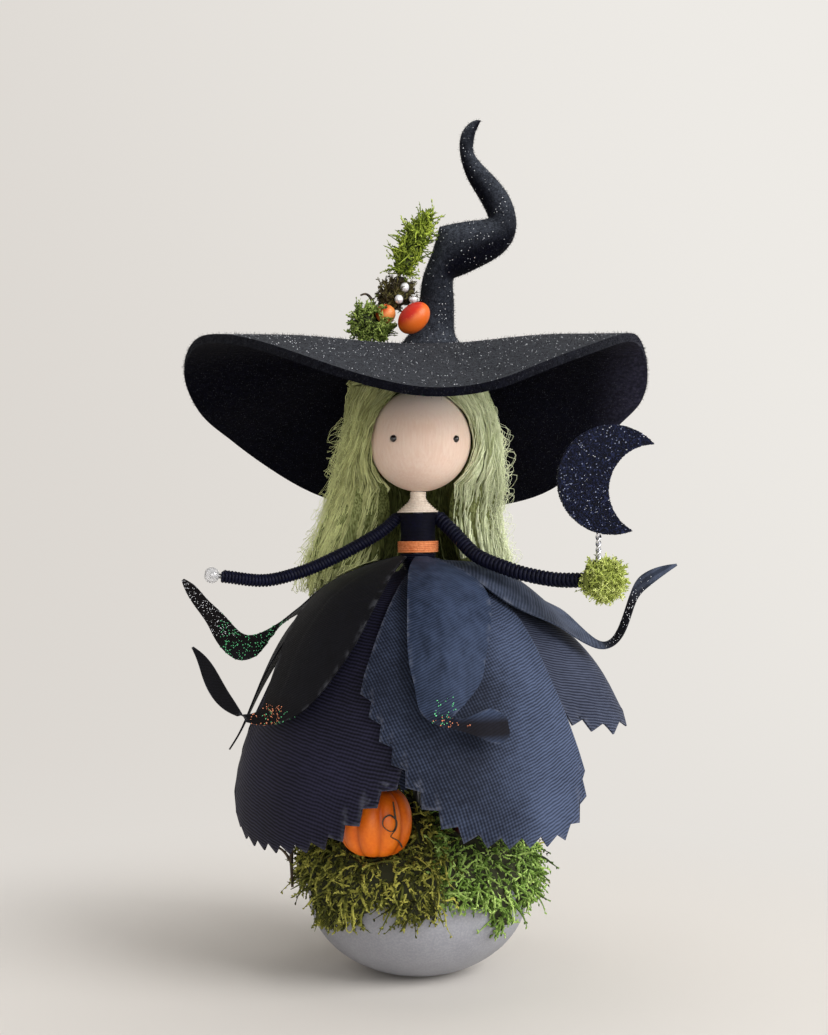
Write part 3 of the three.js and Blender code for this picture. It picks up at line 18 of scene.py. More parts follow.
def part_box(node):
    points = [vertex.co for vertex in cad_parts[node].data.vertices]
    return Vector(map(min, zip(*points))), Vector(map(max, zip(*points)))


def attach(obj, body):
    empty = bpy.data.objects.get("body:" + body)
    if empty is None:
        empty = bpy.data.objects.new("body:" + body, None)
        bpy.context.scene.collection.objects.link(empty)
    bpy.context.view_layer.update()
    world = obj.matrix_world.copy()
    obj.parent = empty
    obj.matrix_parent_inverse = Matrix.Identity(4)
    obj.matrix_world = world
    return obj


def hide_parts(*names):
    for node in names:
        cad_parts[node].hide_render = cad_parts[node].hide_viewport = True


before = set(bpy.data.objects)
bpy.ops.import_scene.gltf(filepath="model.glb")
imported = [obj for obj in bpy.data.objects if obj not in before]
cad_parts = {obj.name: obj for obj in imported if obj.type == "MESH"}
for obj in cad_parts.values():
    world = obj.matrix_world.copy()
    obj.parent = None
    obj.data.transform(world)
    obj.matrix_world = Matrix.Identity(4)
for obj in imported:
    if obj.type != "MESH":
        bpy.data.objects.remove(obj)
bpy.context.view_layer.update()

mm = 0.001
chance = np.random.default_rng(31)

# %% [markdown]
# ## Where the camera stands
# The photograph was taken from about 400 mm away, level with the doll's waist, so near
# parts look a little larger. A matching distance matters more than a matching lens, because
# it sets how much the brim hides. So the camera gets that distance, and the lens follows.

# %% Camera
def add(name, data):
    """Puts a mesh, a lamp or a camera in the scene."""
    made = bpy.data.objects.new(name, data)
    bpy.context.scene.collection.objects.link(made)
    return made


camera_data = bpy.data.cameras.new("doll_camera")
camera_data.sensor_fit = "VERTICAL"
camera_data.sensor_height = 36
camera_data.lens = 57.04
camera = add("doll_camera", camera_data)
camera.location = (-0.98 * mm, -400 * mm, 110 * mm)
camera.rotation_euler = (math.pi / 2, 0, 0)
bpy.context.scene.camera = camera
print("camera lens in mm:", round(camera_data.lens, 2))

# %% [markdown]
# ## Shader maths that reads like maths
# Every finish here is made from nodes. Wiring them by hand hides the idea, so one small class
# wraps a socket: adding or multiplying two of them adds the Math node for it. A second class
# owns the material and makes every other kind of node through one method. The world's light
# is made in the same way.

# %% Signals and finishes
class Signal:
    """A node's output that Python's operators work on."""

    def __init__(self, finish, socket):
        self.finish = finish
        self.socket = socket

    def maths(self, operation, first, second=0.0):
        return self.finish.node("ShaderNodeMath", {"operation": operation}, {0: first, 1: second})

    def __add__(self, other):
        return self.maths("ADD", self, other)

    def __sub__(self, other):
        return self.maths("SUBTRACT", self, other)

    def __rsub__(self, other):
        return self.maths("SUBTRACT", other, self)

    def __mul__(self, other):
        return self.maths("MULTIPLY", self, other)

    __radd__ = __add__
    __rmul__ = __mul__

    def wave(self, length):
        """A wave from 0 to 1 with that distance between its crests."""
        return self.maths("SINE", self * (2 * math.pi / length)) * 0.5 + 0.5

    def above(self, limit):
        return self.maths("GREATER_THAN", self, limit)

    def rise(self, low, high):
        """0 below low, 1 above high, with a soft step between them."""
        limits = {"Value": self, "From Min": low, "From Max": high}
        return self.finish.node("ShaderNodeMapRange", {"interpolation_type": "SMOOTHSTEP"}, limits)


class Finish:
    """A material whose nodes are made by short expressions. A tuple is a screen colour."""

    def __init__(self, name, **settings):
        self.material = bpy.data.materials.new(name)
        self.material.use_nodes = True
        self.tree = self.material.node_tree
        self.shader = self.tree.nodes["Principled BSDF"]
        for socket, value in settings.items():
            level = paint(*value) if isinstance(value, tuple) else value
            self.shader.inputs[socket.replace("_", " ")].default_value = level

    def node(self, kind, settings=None, sockets=None, output=0):
        made = self.tree.nodes.new(kind)
        for key, value in (settings or {}).items():
            if key == "stops":
                for _ in range(len(value) - 2):
                    made.color_ramp.elements.new(0.5)
                for element, (position, tint) in zip(made.color_ramp.elements, value):
                    element.position = position
                    element.color = paint(*tint)
            else:
                setattr(made, key, value)
        for key, value in (sockets or {}).items():
            if isinstance(value, Signal):
                self.tree.links.new(value.socket, made.inputs[key])
            else:
                made.inputs[key].default_value = paint(*value) if isinstance(value, tuple) else value
        return Signal(self, made.outputs[output])

    def drive(self, socket, signal):
        self.tree.links.new(signal.socket, self.shader.inputs[socket])
        return self

    def place(self, axis=None):
        """A point of the piece, in metres, or one of its coordinates."""
        point = self.node("ShaderNodeTexCoord", output="Object")
        return self.node("ShaderNodeSeparateXYZ", {}, {0: point}, output=axis) if axis else point

    def seen(self):
        """1 for what the camera sees, directly, in a shine or through a clear piece."""
        kinds = ("Is Camera Ray", "Is Glossy Ray", "Is Transmission Ray")
        direct, glossy, through = (self.node("ShaderNodeLightPath", output=kind) for kind in kinds)
        return (direct + glossy + through).above(0.5)

    def stored(self, name):
        """A number kept on the piece's points under this name."""
        return self.node("ShaderNodeAttribute", {"attribute_name": name}, output="Fac")

    def noise(self, grain, detail=3.0, stretch=(1, 1, 1), offset=0.0):
        """Cloudy noise from 0 to 1, with lumps of about that many millimetres."""
        where = self.node(
            "ShaderNodeVectorMath",
            {"operation": "MULTIPLY_ADD"},
            {0: self.place(), 1: [1 / (s * grain * mm) for s in stretch], 2: [offset] * 3},
        )
        return self.node("ShaderNodeTexNoise", {}, {"Vector": where, "Scale": 1.0, "Detail": detail})

    def tint(self, share, first, second):
        """A colour between two others."""
        sockets = {0: share, 6: first, 7: second}
        return self.node("ShaderNodeMix", {"data_type": "RGBA"}, sockets, output=2)

    def colour(self, share, first, second):
        """Gives the piece a colour between two others."""
        return self.drive("Base Color", self.tint(share, first, second))

    def relief(self, height, strength, depth):
        """Bumps of that many millimetres."""
        sockets = {"Height": height, "Strength": strength, "Distance": depth * mm}
        return self.drive("Normal", self.node("ShaderNodeBump", {}, sockets))

    def grained(self, amount=0.15, grain=0.4):
        """A little unevenness of shine, so that a smooth finish isn't dead flat."""
        level = self.shader.inputs["Roughness"].default_value
        self.drive("Roughness", level + (self.noise(grain, 2) - 0.5) * amount)
        return self


class Sky(Finish):
    """The world's light, made with the same kind of nodes."""

    def __init__(self, name):
        self.world = bpy.data.worlds.new(name)
        self.world.use_nodes = True
        self.tree = self.world.node_tree
        self.shader = self.tree.nodes["Background"]


def paint(red, green, blue):
    """A screen colour as the linear numbers that a shader works with."""
    parts = [c / 255 for c in (red, green, blue)]
    return (*[c / 12.92 if c < 0.04 else ((c + 0.055) / 1.055) ** 2.4 for c in parts], 1.0)


print("a mid grey is", [round(c, 3) for c in paint(128, 128, 128)])

# %% [markdown]
# ## A pale room
# The doll was photographed before an evenly lit pale wall. A floor that curves up into a
# backdrop has no corner to show behind the doll. Far from the doll the camera sees a glow of
# the wall's colour with painted light in it: darker towards the lower left and paler to the
# right and higher up. Near the doll it sees a real matt surface, so that the doll's soft
# shadow stays; that surface is painted a little paler at the left and darker at the right,
# against the window lamp.

# %% Floor, backdrop and lamps
def room_finish():
    finish = Finish("pale_room", Roughness=0.95, Specular_IOR_Level=0.0)
    # share paints light into the room: the wall's glow is darker at the lower left and paler to the right and
    # up; the matt floor is paler at the left and darker at the right, against the window lamp
    share = (finish.place("X") * 1.2 + finish.place("Z") * 0.55 + 0.42).rise(0.0, 1.0)
    finish.colour(share, (224, 219, 213), (216, 212, 206))
    wall_glow_painted_light = finish.tint(share, (218, 213, 207), (238, 235, 230))
    length = {"operation": "LENGTH"}
    far = finish.node("ShaderNodeVectorMath", length, {0: finish.place()}, output="Value").rise(0.05, 0.2)
    glow = finish.node("ShaderNodeEmission", {}, {"Color": wall_glow_painted_light, "Strength": 1.0})
    matt = Signal(finish, finish.shader.outputs[0])
    mixed = finish.node("ShaderNodeMixShader", {}, {0: finish.seen() * far, 1: matt, 2: glow})
    out = finish.tree.nodes["Material Output"]
    finish.tree.links.new(mixed.socket, out.inputs["Surface"])
    return finish.material


def make_room():
    depth, rise, bend, half = 0.7, 1.3, 0.35, 1.6
    profile = [(-1.2, 0.0), (depth - bend, 0.0)]
    for turn in np.linspace(0, math.pi / 2, 13)[1:]:
        profile.append((depth - bend + bend * math.sin(turn), bend - bend * math.cos(turn)))
    profile.append((depth, rise))
    points = [(x, y, z) for x in (-half, half) for y, z in profile]
    count = len(profile)
    faces = [(i, count + i, count + i + 1, i + 1) for i in range(count - 1)]
    mesh = bpy.data.meshes.new("room")
    mesh.from_pydata(points, [], faces)
    mesh.shade_smooth()
    mesh.materials.append(room_finish())
    room = add("room", mesh)


def add_lamp(name, position, size, power):
    """A round lamp that faces the doll's middle."""
    data = bpy.data.lights.new(name, "AREA")
    data.shape = "DISK"
    data.size = size
    data.energy = power
    lamp = add(name, data)
    lamp.location = position
    lamp.rotation_euler = (Vector((0, 0, 0.1)) - Vector(position)).to_track_quat("-Z", "Y").to_euler()


make_room()
add_lamp("window", (0.85, -0.6, 0.62), 0.8, 14.0)
add_lamp("room_fill", (0.15, -1.15, 0.16), 1.0, 5.2)
add_lamp("ceiling", (0.1, 0.1, 1.0), 0.9, 2.0)
sky = Sky("soft_daylight")
sky.shader.inputs["Color"].default_value = (1.0, 0.98, 0.96, 1)
sky.shader.inputs["Strength"].default_value = 0.38
# From the side and from behind the camera sees past the backdrop: it is as pale there
pale_sky = sky.node("ShaderNodeBackground", {}, {"Color": (224, 220, 214)})
light = Signal(sky, sky.shader.outputs[0])
seen_sky = sky.node("ShaderNodeMixShader", {}, {0: sky.seen(), 1: light, 2: pale_sky})
sky.tree.links.new(seen_sky.socket, sky.tree.nodes["World Output"].inputs["Surface"])
bpy.context.scene.world = sky.world
bpy.context.scene.view_settings.view_transform = "Standard"
print("room and three lamps")

# %% [markdown]
# ## Making pieces
# Two ways of making a mesh cover nearly all of this doll. Smooth pieces such as the brim, the
# petals and the pebble start from their solid: its points are welded and subdivided, and its
# real edges stay sharp. Everything that is thread, wool, moss or wire is a bundle of thin
# tubes that follow lines of points, so one function turns thousands of lines into one mesh.

# %% Tools for pieces
def store(mesh, **values):
    """Keeps one number for each point of a mesh, under each name."""
    for name, numbers in values.items():
        mesh.attributes.new(name, "FLOAT", "POINT").data.foreach_set("value", np.ravel(numbers))


def mesh_of(name, points, faces, tone=None):
    """A mesh from points in millimetres, with a tone for each of them if it has one."""
    mesh = bpy.data.meshes.new(name)
    mesh.from_pydata(np.asarray(points) * mm, [], faces)
    if tone is not None:
        store(mesh, tone=tone)
    mesh.shade_smooth()
    return mesh


def show(name, shape, finish, slot, *nodes, body="torso"):
    """Shows a mesh, or what mesh_of takes, as a piece of a body that stands for solids."""
    mesh = mesh_of(name, *shape) if isinstance(shape, tuple) else shape
    mesh.materials.clear()
    mesh.materials.append(finish.material)
    made = add(name, mesh)
    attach(made, body)
    if nodes:
        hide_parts(*nodes)
    print(name, "faces:", len(mesh.polygons))
    return made


def points_of(mesh):
    """The mesh's points in millimetres."""
    flat = np.empty(len(mesh.vertices) * 3)
    mesh.vertices.foreach_get("co", flat)
    return flat.reshape(-1, 3) / mm


def normals_of(mesh):
    flat = np.empty(len(mesh.vertices) * 3, np.float32)
    mesh.vertex_normals.foreach_get("vector", flat)
    return flat.reshape(-1, 3)


def move_points(mesh, place):
    mesh.vertices.foreach_set("co", np.ravel(place * mm))


def surface_of(mesh):
    """The mesh as something that a ray can be cast at."""
    return BVHTree.FromPolygons([v.co for v in mesh.vertices], [f.vertices for f in mesh.polygons])


def refined(node, levels=2, sharp=50):
    """The solid's mesh, welded and subdivided, with its real edges kept."""
    shape = bmesh.new()
    shape.from_mesh(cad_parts[node].data)
    bmesh.ops.remove_doubles(shape, verts=shape.verts, dist=0.001 * mm)
    limits = {"angle_face_threshold": math.radians(30), "angle_shape_threshold": math.radians(60)}
    bmesh.ops.join_triangles(shape, faces=shape.faces, **limits)
    crease = shape.edges.layers.float.new("crease_edge")
    for edge in shape.edges:
        if edge.calc_face_angle(0) > math.radians(sharp):
            edge[crease] = 1
    coarse = bpy.data.meshes.new(node + "_coarse")
    shape.to_mesh(coarse)
    shape.free()
    carrier = add("carrier", coarse)
    divided = carrier.modifiers.new("divide", "SUBSURF")
    divided.levels = divided.render_levels = levels
    graph = bpy.context.evaluated_depsgraph_get()
    mesh = bpy.data.meshes.new_from_object(carrier.evaluated_get(graph))
    bpy.data.objects.remove(carrier)
    for name in ("crease_edge", "custom_normal"):
        if name in mesh.attributes:
            mesh.attributes.remove(mesh.attributes[name])
    mesh.shade_smooth()
    fine = bmesh.new()
    fine.from_mesh(mesh)
    for edge in fine.edges:
        edge.smooth = edge.calc_face_angle(0) < math.radians(40)
    fine.to_mesh(mesh)
    fine.free()
    return mesh


def unit(vectors):
    return vectors / np.maximum(np.linalg.norm(vectors, axis=-1, keepdims=True), 1e-9)


def carried(along, start):
    """Directions across lines, turning no more than the lines themselves do."""
    side = np.empty_like(along)
    side[:, 0] = unit(np.cross(along[:, 0], start))
    for i in range(1, along.shape[1]):
        last = side[:, i - 1]
        side[:, i] = unit(last - (last * along[:, i]).sum(-1, keepdims=True) * along[:, i])
    return side


def ring_faces(count, steps, sides):
    """The faces between rings of points, for that many tubes of that many rings."""
    number = np.arange(count * steps * sides).reshape(count, steps, sides)
    low, high = number[:, :-1], number[:, 1:]
    return np.stack([low, np.roll(low, -1, 2), np.roll(high, -1, 2), high], -1).reshape(-1, 4)


def tubes(lines, radii, sides=3):
    """Points and faces of tubes. lines is tubes by points by xyz.

    radii is one number, one for each point of a line, or one for each point of each line.
    """
    count, steps, _ = lines.shape
    along = unit(np.gradient(lines, axis=1))
    side = carried(along, chance.normal(size=(count, 3)))
    up = np.cross(along, side)
    turn = 2 * math.pi * np.arange(sides) / sides
    ring = side[:, :, None] * np.cos(turn)[:, None] + up[:, :, None] * np.sin(turn)[:, None]
    points = lines[:, :, None] + ring * np.broadcast_to(radii, (count, steps))[:, :, None, None]
    return points.reshape(-1, 3), ring_faces(count, steps, sides)


def joined(*parts):
    """One list of points and faces from several."""
    starts = np.cumsum([0] + [len(points) for points, _ in parts])
    faces = [faces + start for (_, faces), start in zip(parts, starts)]
    return np.concatenate([points for points, _ in parts]), np.concatenate(faces)


def spread_over(mesh, count, keep=None):
    """Random points of a mesh with the normals there, in millimetres."""
    mesh.calc_loop_triangles()
    corners = np.array([t.vertices[:] for t in mesh.loop_triangles])
    place = points_of(mesh)
    a, b, c = (place[corners[:, i]] for i in range(3))
    normal = np.cross(b - a, c - a)
    area = np.linalg.norm(normal, axis=1)
    if keep is not None:
        area = area * keep((a + b + c) / 3, unit(normal))
    pick = chance.choice(len(area), size=count, p=area / area.sum())
    u, v = chance.random(count), chance.random(count)
    flip = u + v > 1
    u[flip], v[flip] = 1 - u[flip], 1 - v[flip]
    spot = a[pick] + (b - a)[pick] * u[:, None] + (c - a)[pick] * v[:, None]
    return spot, unit(normal[pick])


def flakes(spots, normals, size, tilt):
    """Six-sided glitter flakes that lie on a surface, each turned its own way."""
    count = len(spots)
    facing = unit(normals + tilt * chance.normal(size=(count, 3)))
    side = unit(np.cross(facing, chance.normal(size=(count, 3))))
    up = np.cross(facing, side)
    turn = 2 * math.pi * np.arange(6) / 6
    radius = size * chance.uniform(0.6, 1.2, count)[:, None, None] / 2
    rim = side[:, None] * np.cos(turn)[:, None] + up[:, None] * np.sin(turn)[:, None]
    lift, thickness = 0.09, 0.05
    top = spots[:, None] + rim * radius + facing[:, None] * lift
    bottom = top - facing[:, None] * thickness
    points = np.concatenate([top, bottom], 1).reshape(-1, 3)
    faces = []
    for start in range(0, 12 * count, 12):
        faces.append([start + j for j in range(6)])
        faces.append([start + 11 - j for j in range(6)])
        for j in range(6):
            k = (j + 1) % 6
            faces.append([start + j, start + 6 + j, start + 6 + k, start + k])
    return points, faces


def run_of(line):
    """How far along a line each of its points lies."""
    return np.concatenate([[0], np.cumsum(np.linalg.norm(np.diff(line, axis=0), axis=1))])


def spaced(line, count):
    """A line as that many points, evenly spread along it."""
    run = run_of(line)
    even = np.linspace(0, run[-1], count)
    return np.stack([np.interp(even, run, line[:, k]) for k in range(3)], 1)


def curve_through(points, count):
    """A smooth line through points, as that many points evenly spread along it."""
    place = np.asarray(points, float)
    place = np.vstack([2 * place[0] - place[1], place, 2 * place[-1] - place[-2]])
    fine = []
    for near in zip(place, place[1:], place[2:], place[3:]):
        knots = np.cumsum([0] + [np.linalg.norm(b - a) ** 0.5 + 1e-9 for a, b in zip(near, near[1:])])
        t = np.linspace(knots[1], knots[2], 24, endpoint=False)[:, None]

        def mix(p, q, a, b):
            width = knots[b] - knots[a]
            return (knots[b] - t) / width * p + (t - knots[a]) / width * q

        first, second, third = (mix(near[i], near[i + 1], i, i + 1) for i in range(3))
        fine.extend(mix(mix(first, second, 0, 2), mix(second, third, 1, 3), 1, 2))
    return spaced(np.array(fine + [place[-2]]), count)


def smooth(low, high, value):
    share = np.clip((value - low) / (high - low), 0, 1)
    return share * share * (3 - 2 * share)


print("tools ready")

# %% [markdown]
# ## Pebble
# The base is a smooth river pebble, matt grey, with a ground foot. A smooth form with no
# detail of its own only needs its solid made finer. The surface shows as stone through very
# small pits and a faint change of tone, both from noise.

# %% Pebble
def stone_finish():
    finish = Finish("grey_pebble")
    cloud = finish.noise(9, 4)
    grit = finish.noise(0.5, 2)
    tone = cloud * 0.7 + grit.rise(0.35, 0.7) * 0.3
    finish.colour(tone, (126, 127, 134), (164, 164, 170))
    finish.drive("Roughness", 0.42 + grit * 0.2)
    return finish.relief(grit + cloud, 0.35, 0.12)


show("pebble", refined("base_stone"), stone_finish(), "stone", "base_stone")

# %% [markdown]
# ## Skirt petals
# The lower petals are dark ribbed twill, cut with pinking shears. They hang over each other
# in layers, so their solids already hold the right places. Ribs run straight along the
# cloth, and that needs the petal's own flat directions: how far across and how far down the
# cloth a point is. Both are measured from the skirt's bell shape and stored on the points.

# %% The skirt's bell
waist = 101.32
bell_outline = np.array([
    [3.4, -5.6], [14.5, -9.1], [23.7, -14.8], [29.6, -21.7], [33.9, -30.6],
    [38.2, -42], [41, -53], [41.6, -60], [39.8, -67],
])
bell_line = curve_through(np.pad(bell_outline, ((0, 0), (0, 1))), 400)[:, :2]
bell_run = run_of(bell_line)


def on_bell(points):
    """Distance down the bell, and the bell's radius there, for points in millimetres."""
    reach = np.hypot(points[:, 0], points[:, 1])
    flat = np.stack([reach, points[:, 2] - waist], 1)
    nearest = np.empty(len(points), int)
    for start in range(0, len(points), 4000):
        batch = slice(start, start + 4000)
        nearest[batch] = np.linalg.norm(flat[batch, None] - bell_line[None], axis=2).argmin(1)
    return bell_run[nearest], bell_line[nearest, 0]


def cloth_directions(mesh, azimuth):
    """Stores how far across and down the cloth each point lies, in millimetres."""
    place = points_of(mesh)
    down, radius = on_bell(place)
    turn = np.degrees(np.arctan2(place[:, 0], -place[:, 1])) - azimuth
    turn = (turn + 180) % 360 - 180
    across = np.radians(turn) * np.maximum(radius, 3)
    hem = np.zeros(len(place))
    for edge in mesh.edges:
        if edge.use_edge_sharp:
            hem[list(edge.vertices)] = 1
    store(mesh, across=across, down=down, hem=hem)
    return across, down


print("length of the bell in mm:", round(bell_run[-1], 1))

# %% [markdown]
# The cloth's ribs are about 0.7 mm apart. They are a sine wave across the cloth in a direction
# of their own for each petal, because each was cut from the roll at a different angle. A second
# wave at a right angle makes the threads that cross the ribs, and the light shows now one set
# and now the other. The hem is paler where it was cut.
# The front right petal is also painted paler on the side towards the window, as painted light.

# %% Twill
def twill_finish(name, rib_angle, pitch, change, plain, crossed, lift, dark, light):
    """change is where, across the cloth, the crossing threads give way to the ribs."""
    finish = Finish(name, Specular_IOR_Level=0.16, Sheen_Weight=0.03, Sheen_Roughness=0.4)
    across = finish.stored("across")
    down = finish.stored("down")
    lean, rest = math.sin(math.radians(rib_angle)), math.cos(math.radians(rib_angle))
    wander = (finish.noise(16, 2) - 0.5) * 1.3
    ribs = (across * lean + down * rest + wander).wave(pitch)
    cross = (across * rest - down * lean + wander).wave(pitch / 0.94)
    ribbed = across.rise(*change)
    slub = finish.noise(1.1, 3, (2, 2, 1))
    cloud = finish.noise(20, 2)
    lines = ribs * (plain + ribbed * (0.5 - plain)) + cross * (crossed - ribbed * crossed)
    # lift paints the cloth paler where the ribs take over: painted light on the side towards the window,
    # which only the front right petal has
    tone = lines + slub * 0.3 + (cloud - 0.5) * 0.55 + (ribbed - 0.5) * lift
    cloth = finish.tint(tone.rise(0.0, 1.0), dark, light)
    finish.colour(finish.stored("hem") * slub.rise(0.35, 0.65) * 0.3, cloth, (112, 114, 126))
    finish.drive("Roughness", 0.8 - lines * 0.25)
    return finish.relief(lines + slub * 0.25, 0.8, 0.12)


# name, azimuth, rib angle, rib pitch, where the crossing threads fade, strength of the ribs and
# of the crossing threads before they fade, how much paler it is painted there (painted light on
# the side towards the window), colour range, the folds' place and depth, flat size
petals = [
    ("front_right", 25, 19, 0.68, (-6, 16), (0.12, 0.26, 0.26), (13, 18, 31), (80, 92, 120), (7, 1.6),
     (56, 78)),
    ("front_left", -47, -11, 0.78, (16, -4), (0.46, 0.1, 0), (1, 1, 10), (42, 41, 64), (6, 0.7), (62, 82)),
    ("right", 95, -25, 0.67, (6, -16), (0.36, 0.08, 0), (24, 28, 42), (80, 87, 108), (5, 0.4), (50, 60)),
    ("back", 169, 24, 0.74, (-8, 12), (0.34, 0.1, 0), (18, 22, 36), (64, 73, 96), (8, 1.2), (60, 82)),
    ("left", -119, 68, 0.74, (-8, 12), (0.34, 0.1, 0), (11, 11, 22), (48, 49, 66), (7, 0.8), (60, 82)),
]


def soft_folds(mesh, azimuth, seed, amount):
    """Moves the cloth a little in and out, in folds that run down it and fade at the waist."""
    across, down = cloth_directions(mesh, azimuth)
    place = points_of(mesh)
    outward = unit(place * [1, 1, 0] + [0, 0, 12])
    wave = np.sin(across / 5.2 + 0.03 * down + seed) * 0.6 + np.sin(across / 2.9 - seed) * 0.25
    lift = amount * wave * smooth(15, 60, down)
    move_points(mesh, place + outward * lift[:, None])


for name, azimuth, rib_angle, pitch, change, ribbing, dark, light, (seed, amount), (width, length) in petals:
    cloth = refined("skirt_petal_" + name)
    soft_folds(cloth, azimuth, seed, 0.18 * amount)
    finish = twill_finish("twill_" + name, rib_angle, pitch, change, *ribbing, dark, light)
    piece = show("twill_petal_" + name, cloth, finish, "twill", "skirt_petal_" + name)

# %% [markdown]
# ## Over petals
# Six narrower petals of smooth cloth lie on the skirt. Their ends were rolled, twisted and
# dipped in glitter. The cloth is finer than the twill, so its weave is only a faint grain,
# and what shows is a soft crease down the middle, with painted shade that keeps one side of it
# darker, and a paler worn edge.

# %% Smooth dark cloth
def satin_finish(name, dark, light):
    finish = Finish(name, Specular_IOR_Level=0.13, Sheen_Weight=0.02, Sheen_Roughness=0.35)
    across = finish.stored("across")
    down = finish.stored("down")
    grain = finish.noise(0.3, 2, (1, 1, 5))
    streak = finish.noise(3.0, 3, (0.7, 0.7, 3.2))
    threads = (across * 0.5 + down * 0.86 + (finish.noise(14, 2) - 0.5)).wave(0.56)
    cloud = finish.noise(13, 3)
    crease = (across + (cloud - 0.5) * 3).rise(-0.7, 0.7)
    # the crease is a bump, and also painted shade: the cloth on one side of the middle is a little darker
    tone = streak * 0.4 + grain * 0.14 + cloud * 0.35 + threads * 0.2 + crease * 0.08
    cloth = finish.tint(tone.rise(0.3, 0.95), dark, light)
    cloth = finish.tint(finish.stored("hem") * streak.rise(0.45, 0.65) * 0.28, cloth, (120, 122, 130))
    tip = finish.stored("tip")
    finish.colour(tip, cloth, (13, 8, 9))
    finish.drive("Roughness", 0.55 + grain * 0.25 + tip * 0.1)
    return finish.relief(grain * 0.2 + threads * 0.3 + streak * 0.6 + crease * 0.8, 0.6, 0.16)


# name, azimuth, colour range, the tip's box as two corners, flat size
over_petals = [
    ("front", 10, (15, 23, 38), (60, 72, 98), (6, -48, 62), (24, -38, 66), (21, 66)),
    ("left_front", -52, (2, 2, 5), (15, 15, 22), (-37, -25, 60), (-30, -15, 67), (23, 84)),
    ("left_side", -92, (4, 4, 8), (18, 19, 26), (-50, -9, 50), (-44, 0, 60), (23, 60)),
    ("left_back", -121, (14, 15, 20), (44, 46, 54), (-62, 5, 76), (-38, 20, 99), (20, 66)),
    ("right", 88, (38, 45, 60), (90, 99, 121), (46, -12, 76), (54, 0, 93), (24, 86)),
    ("back", 165, (26, 30, 42), (68, 76, 96), (8, 46, 60), (20, 56, 80), (27, 72)),
]
cloth_of = {}
for name, azimuth, dark, light, low, high, (width, length) in over_petals:
    cloth = refined("over_petal_" + name)
    cloth_directions(cloth, azimuth)
    place = points_of(cloth)
    middle = (np.array(low) + high) / 2
    half = (np.array(high) - low) / 2
    inside = np.clip(1.6 - np.abs((place - middle) / half).max(1) * 0.9, 0, 1)
    store(cloth, tip=inside * 0.9)
    finish = satin_finish("cloth_" + name, dark, light)
    piece = show("cloth_petal_" + name, cloth, finish, "satin", "over_petal_" + name)
    cloth_of[name] = cloth

# %% [markdown]
# ## Hat
# The hat is stiff craft felt. Felt has no threads: it is a mat of short fibres, so its edge
# is soft and single fibres stand out against the light. The solids give the shape, noise
# gives the matted face, and thousands of short fine tubes give the edge its fur.
# The felt's colour also holds painted light: it is paler where it faces up and dark where it faces down.

# %% Felt
def felt_finish(name, low, high):
    """Black felt with painted light: faces that point up are painted lit, from low to high,
    faces that point down get painted shade, and the rim at the right is painted paler.
    """
    finish = Finish(name, Roughness=0.95, Specular_IOR_Level=0.07, Sheen_Weight=0.01)
    mat = finish.noise(0.9, 5)
    fleck = finish.noise(0.35, 2, (0.6, 1.4, 1))
    cloud = finish.noise(7, 3)
    tone = mat.rise(0.35, 0.75) * 0.55 + cloud * 0.25
    facing = finish.node("ShaderNodeTexCoord", output="Normal")
    faces_up_painted_light = finish.node("ShaderNodeSeparateXYZ", {}, {0: facing}, output="Z").rise(-0.4, 0.6)
    hairs = finish.noise(0.2, 2, (3, 0.5, 1)) * 0.5 + finish.noise(0.2, 2, (0.5, 3, 1), 7.0) * 0.5
    shaded = finish.tint(tone, (0, 0, 5), (8, 9, 23))
    # painted light: the rim at the right, towards the window, is painted paler
    rim = finish.place("X").rise(0.042, 0.056)
    shaded = finish.tint(rim * (tone * 0.8 + 0.2), shaded, (58, 57, 76))
    lit = finish.tint(tone * 0.5 + hairs.rise(0.42, 0.6) * 0.5, low, high)
    base = finish.tint(faces_up_painted_light, shaded, lit)
    # flecks are pale fibres, and are also painted bright as glints
    finish.colour(fleck.rise(0.62, 0.72) * 0.35, base, (92, 94, 98))
    return finish.relief(mat + fleck * 0.5, 0.9, 0.35)


def seated(crown_mesh, brim_mesh):
    """The crown with its lower rim brought down onto the curved brim."""
    top = surface_of(brim_mesh)
    place = points_of(crown_mesh)
    low = place[:, 2].min()
    high, pressed, off_the_brim = low + 1.5, 0.12, 0.4
    for i in np.flatnonzero(place[:, 2] < high):
        x, y, z = place[i]
        spot = top.ray_cast(Vector((x * mm, y * mm, (low + 4) * mm)), Vector((0, 0, -1)))[0]
        drop = low - spot.z / mm + pressed if spot else off_the_brim
        place[i, 2] -= drop * (1 - smooth(low, high, z))
    move_points(crown_mesh, place)
    return crown_mesh


brim = refined("hat_brim", 2, 60)
crown = seated(refined("hat_crown", 2, 60), brim)
brim_felt = felt_finish("black_felt", (5, 6, 10), (80, 83, 90))
crown_felt = felt_finish("crown_felt", (12, 14, 19), (86, 91, 101))
show("felt_brim", brim, brim_felt, "felt", "hat_brim")
show("felt_crown", crown, crown_felt, "felt", "hat_crown")


def fur(mesh, count, length, keep=None):
    """Short fibres that stand out of a surface and lean at random."""
    spots, normals = spread_over(mesh, count, keep)
    lean = unit(normals + 0.9 * chance.normal(size=(count, 3)))
    lean = np.where((lean * normals).sum(1, keepdims=True) < 0.05, unit(lean + 2 * normals), lean)
    reach = length * chance.uniform(0.4, 1.3, count)[:, None]
    bend = 0.35 * reach * unit(chance.normal(size=(count, 3)))
    lines = np.stack([spots, spots + lean * reach * 0.5 + bend * 0.3, spots + lean * reach + bend], 1)
    return tubes(lines, [0.03, 0.026, 0.01])


def at_edge(centres, normals):
    """More fibres where the brim's thin edge is, fewer on its wide faces."""
    reach = np.hypot(centres[:, 0], centres[:, 1])
    return 0.35 + 3.0 * (np.abs(normals[:, 2]) < 0.3) * (reach > 30)


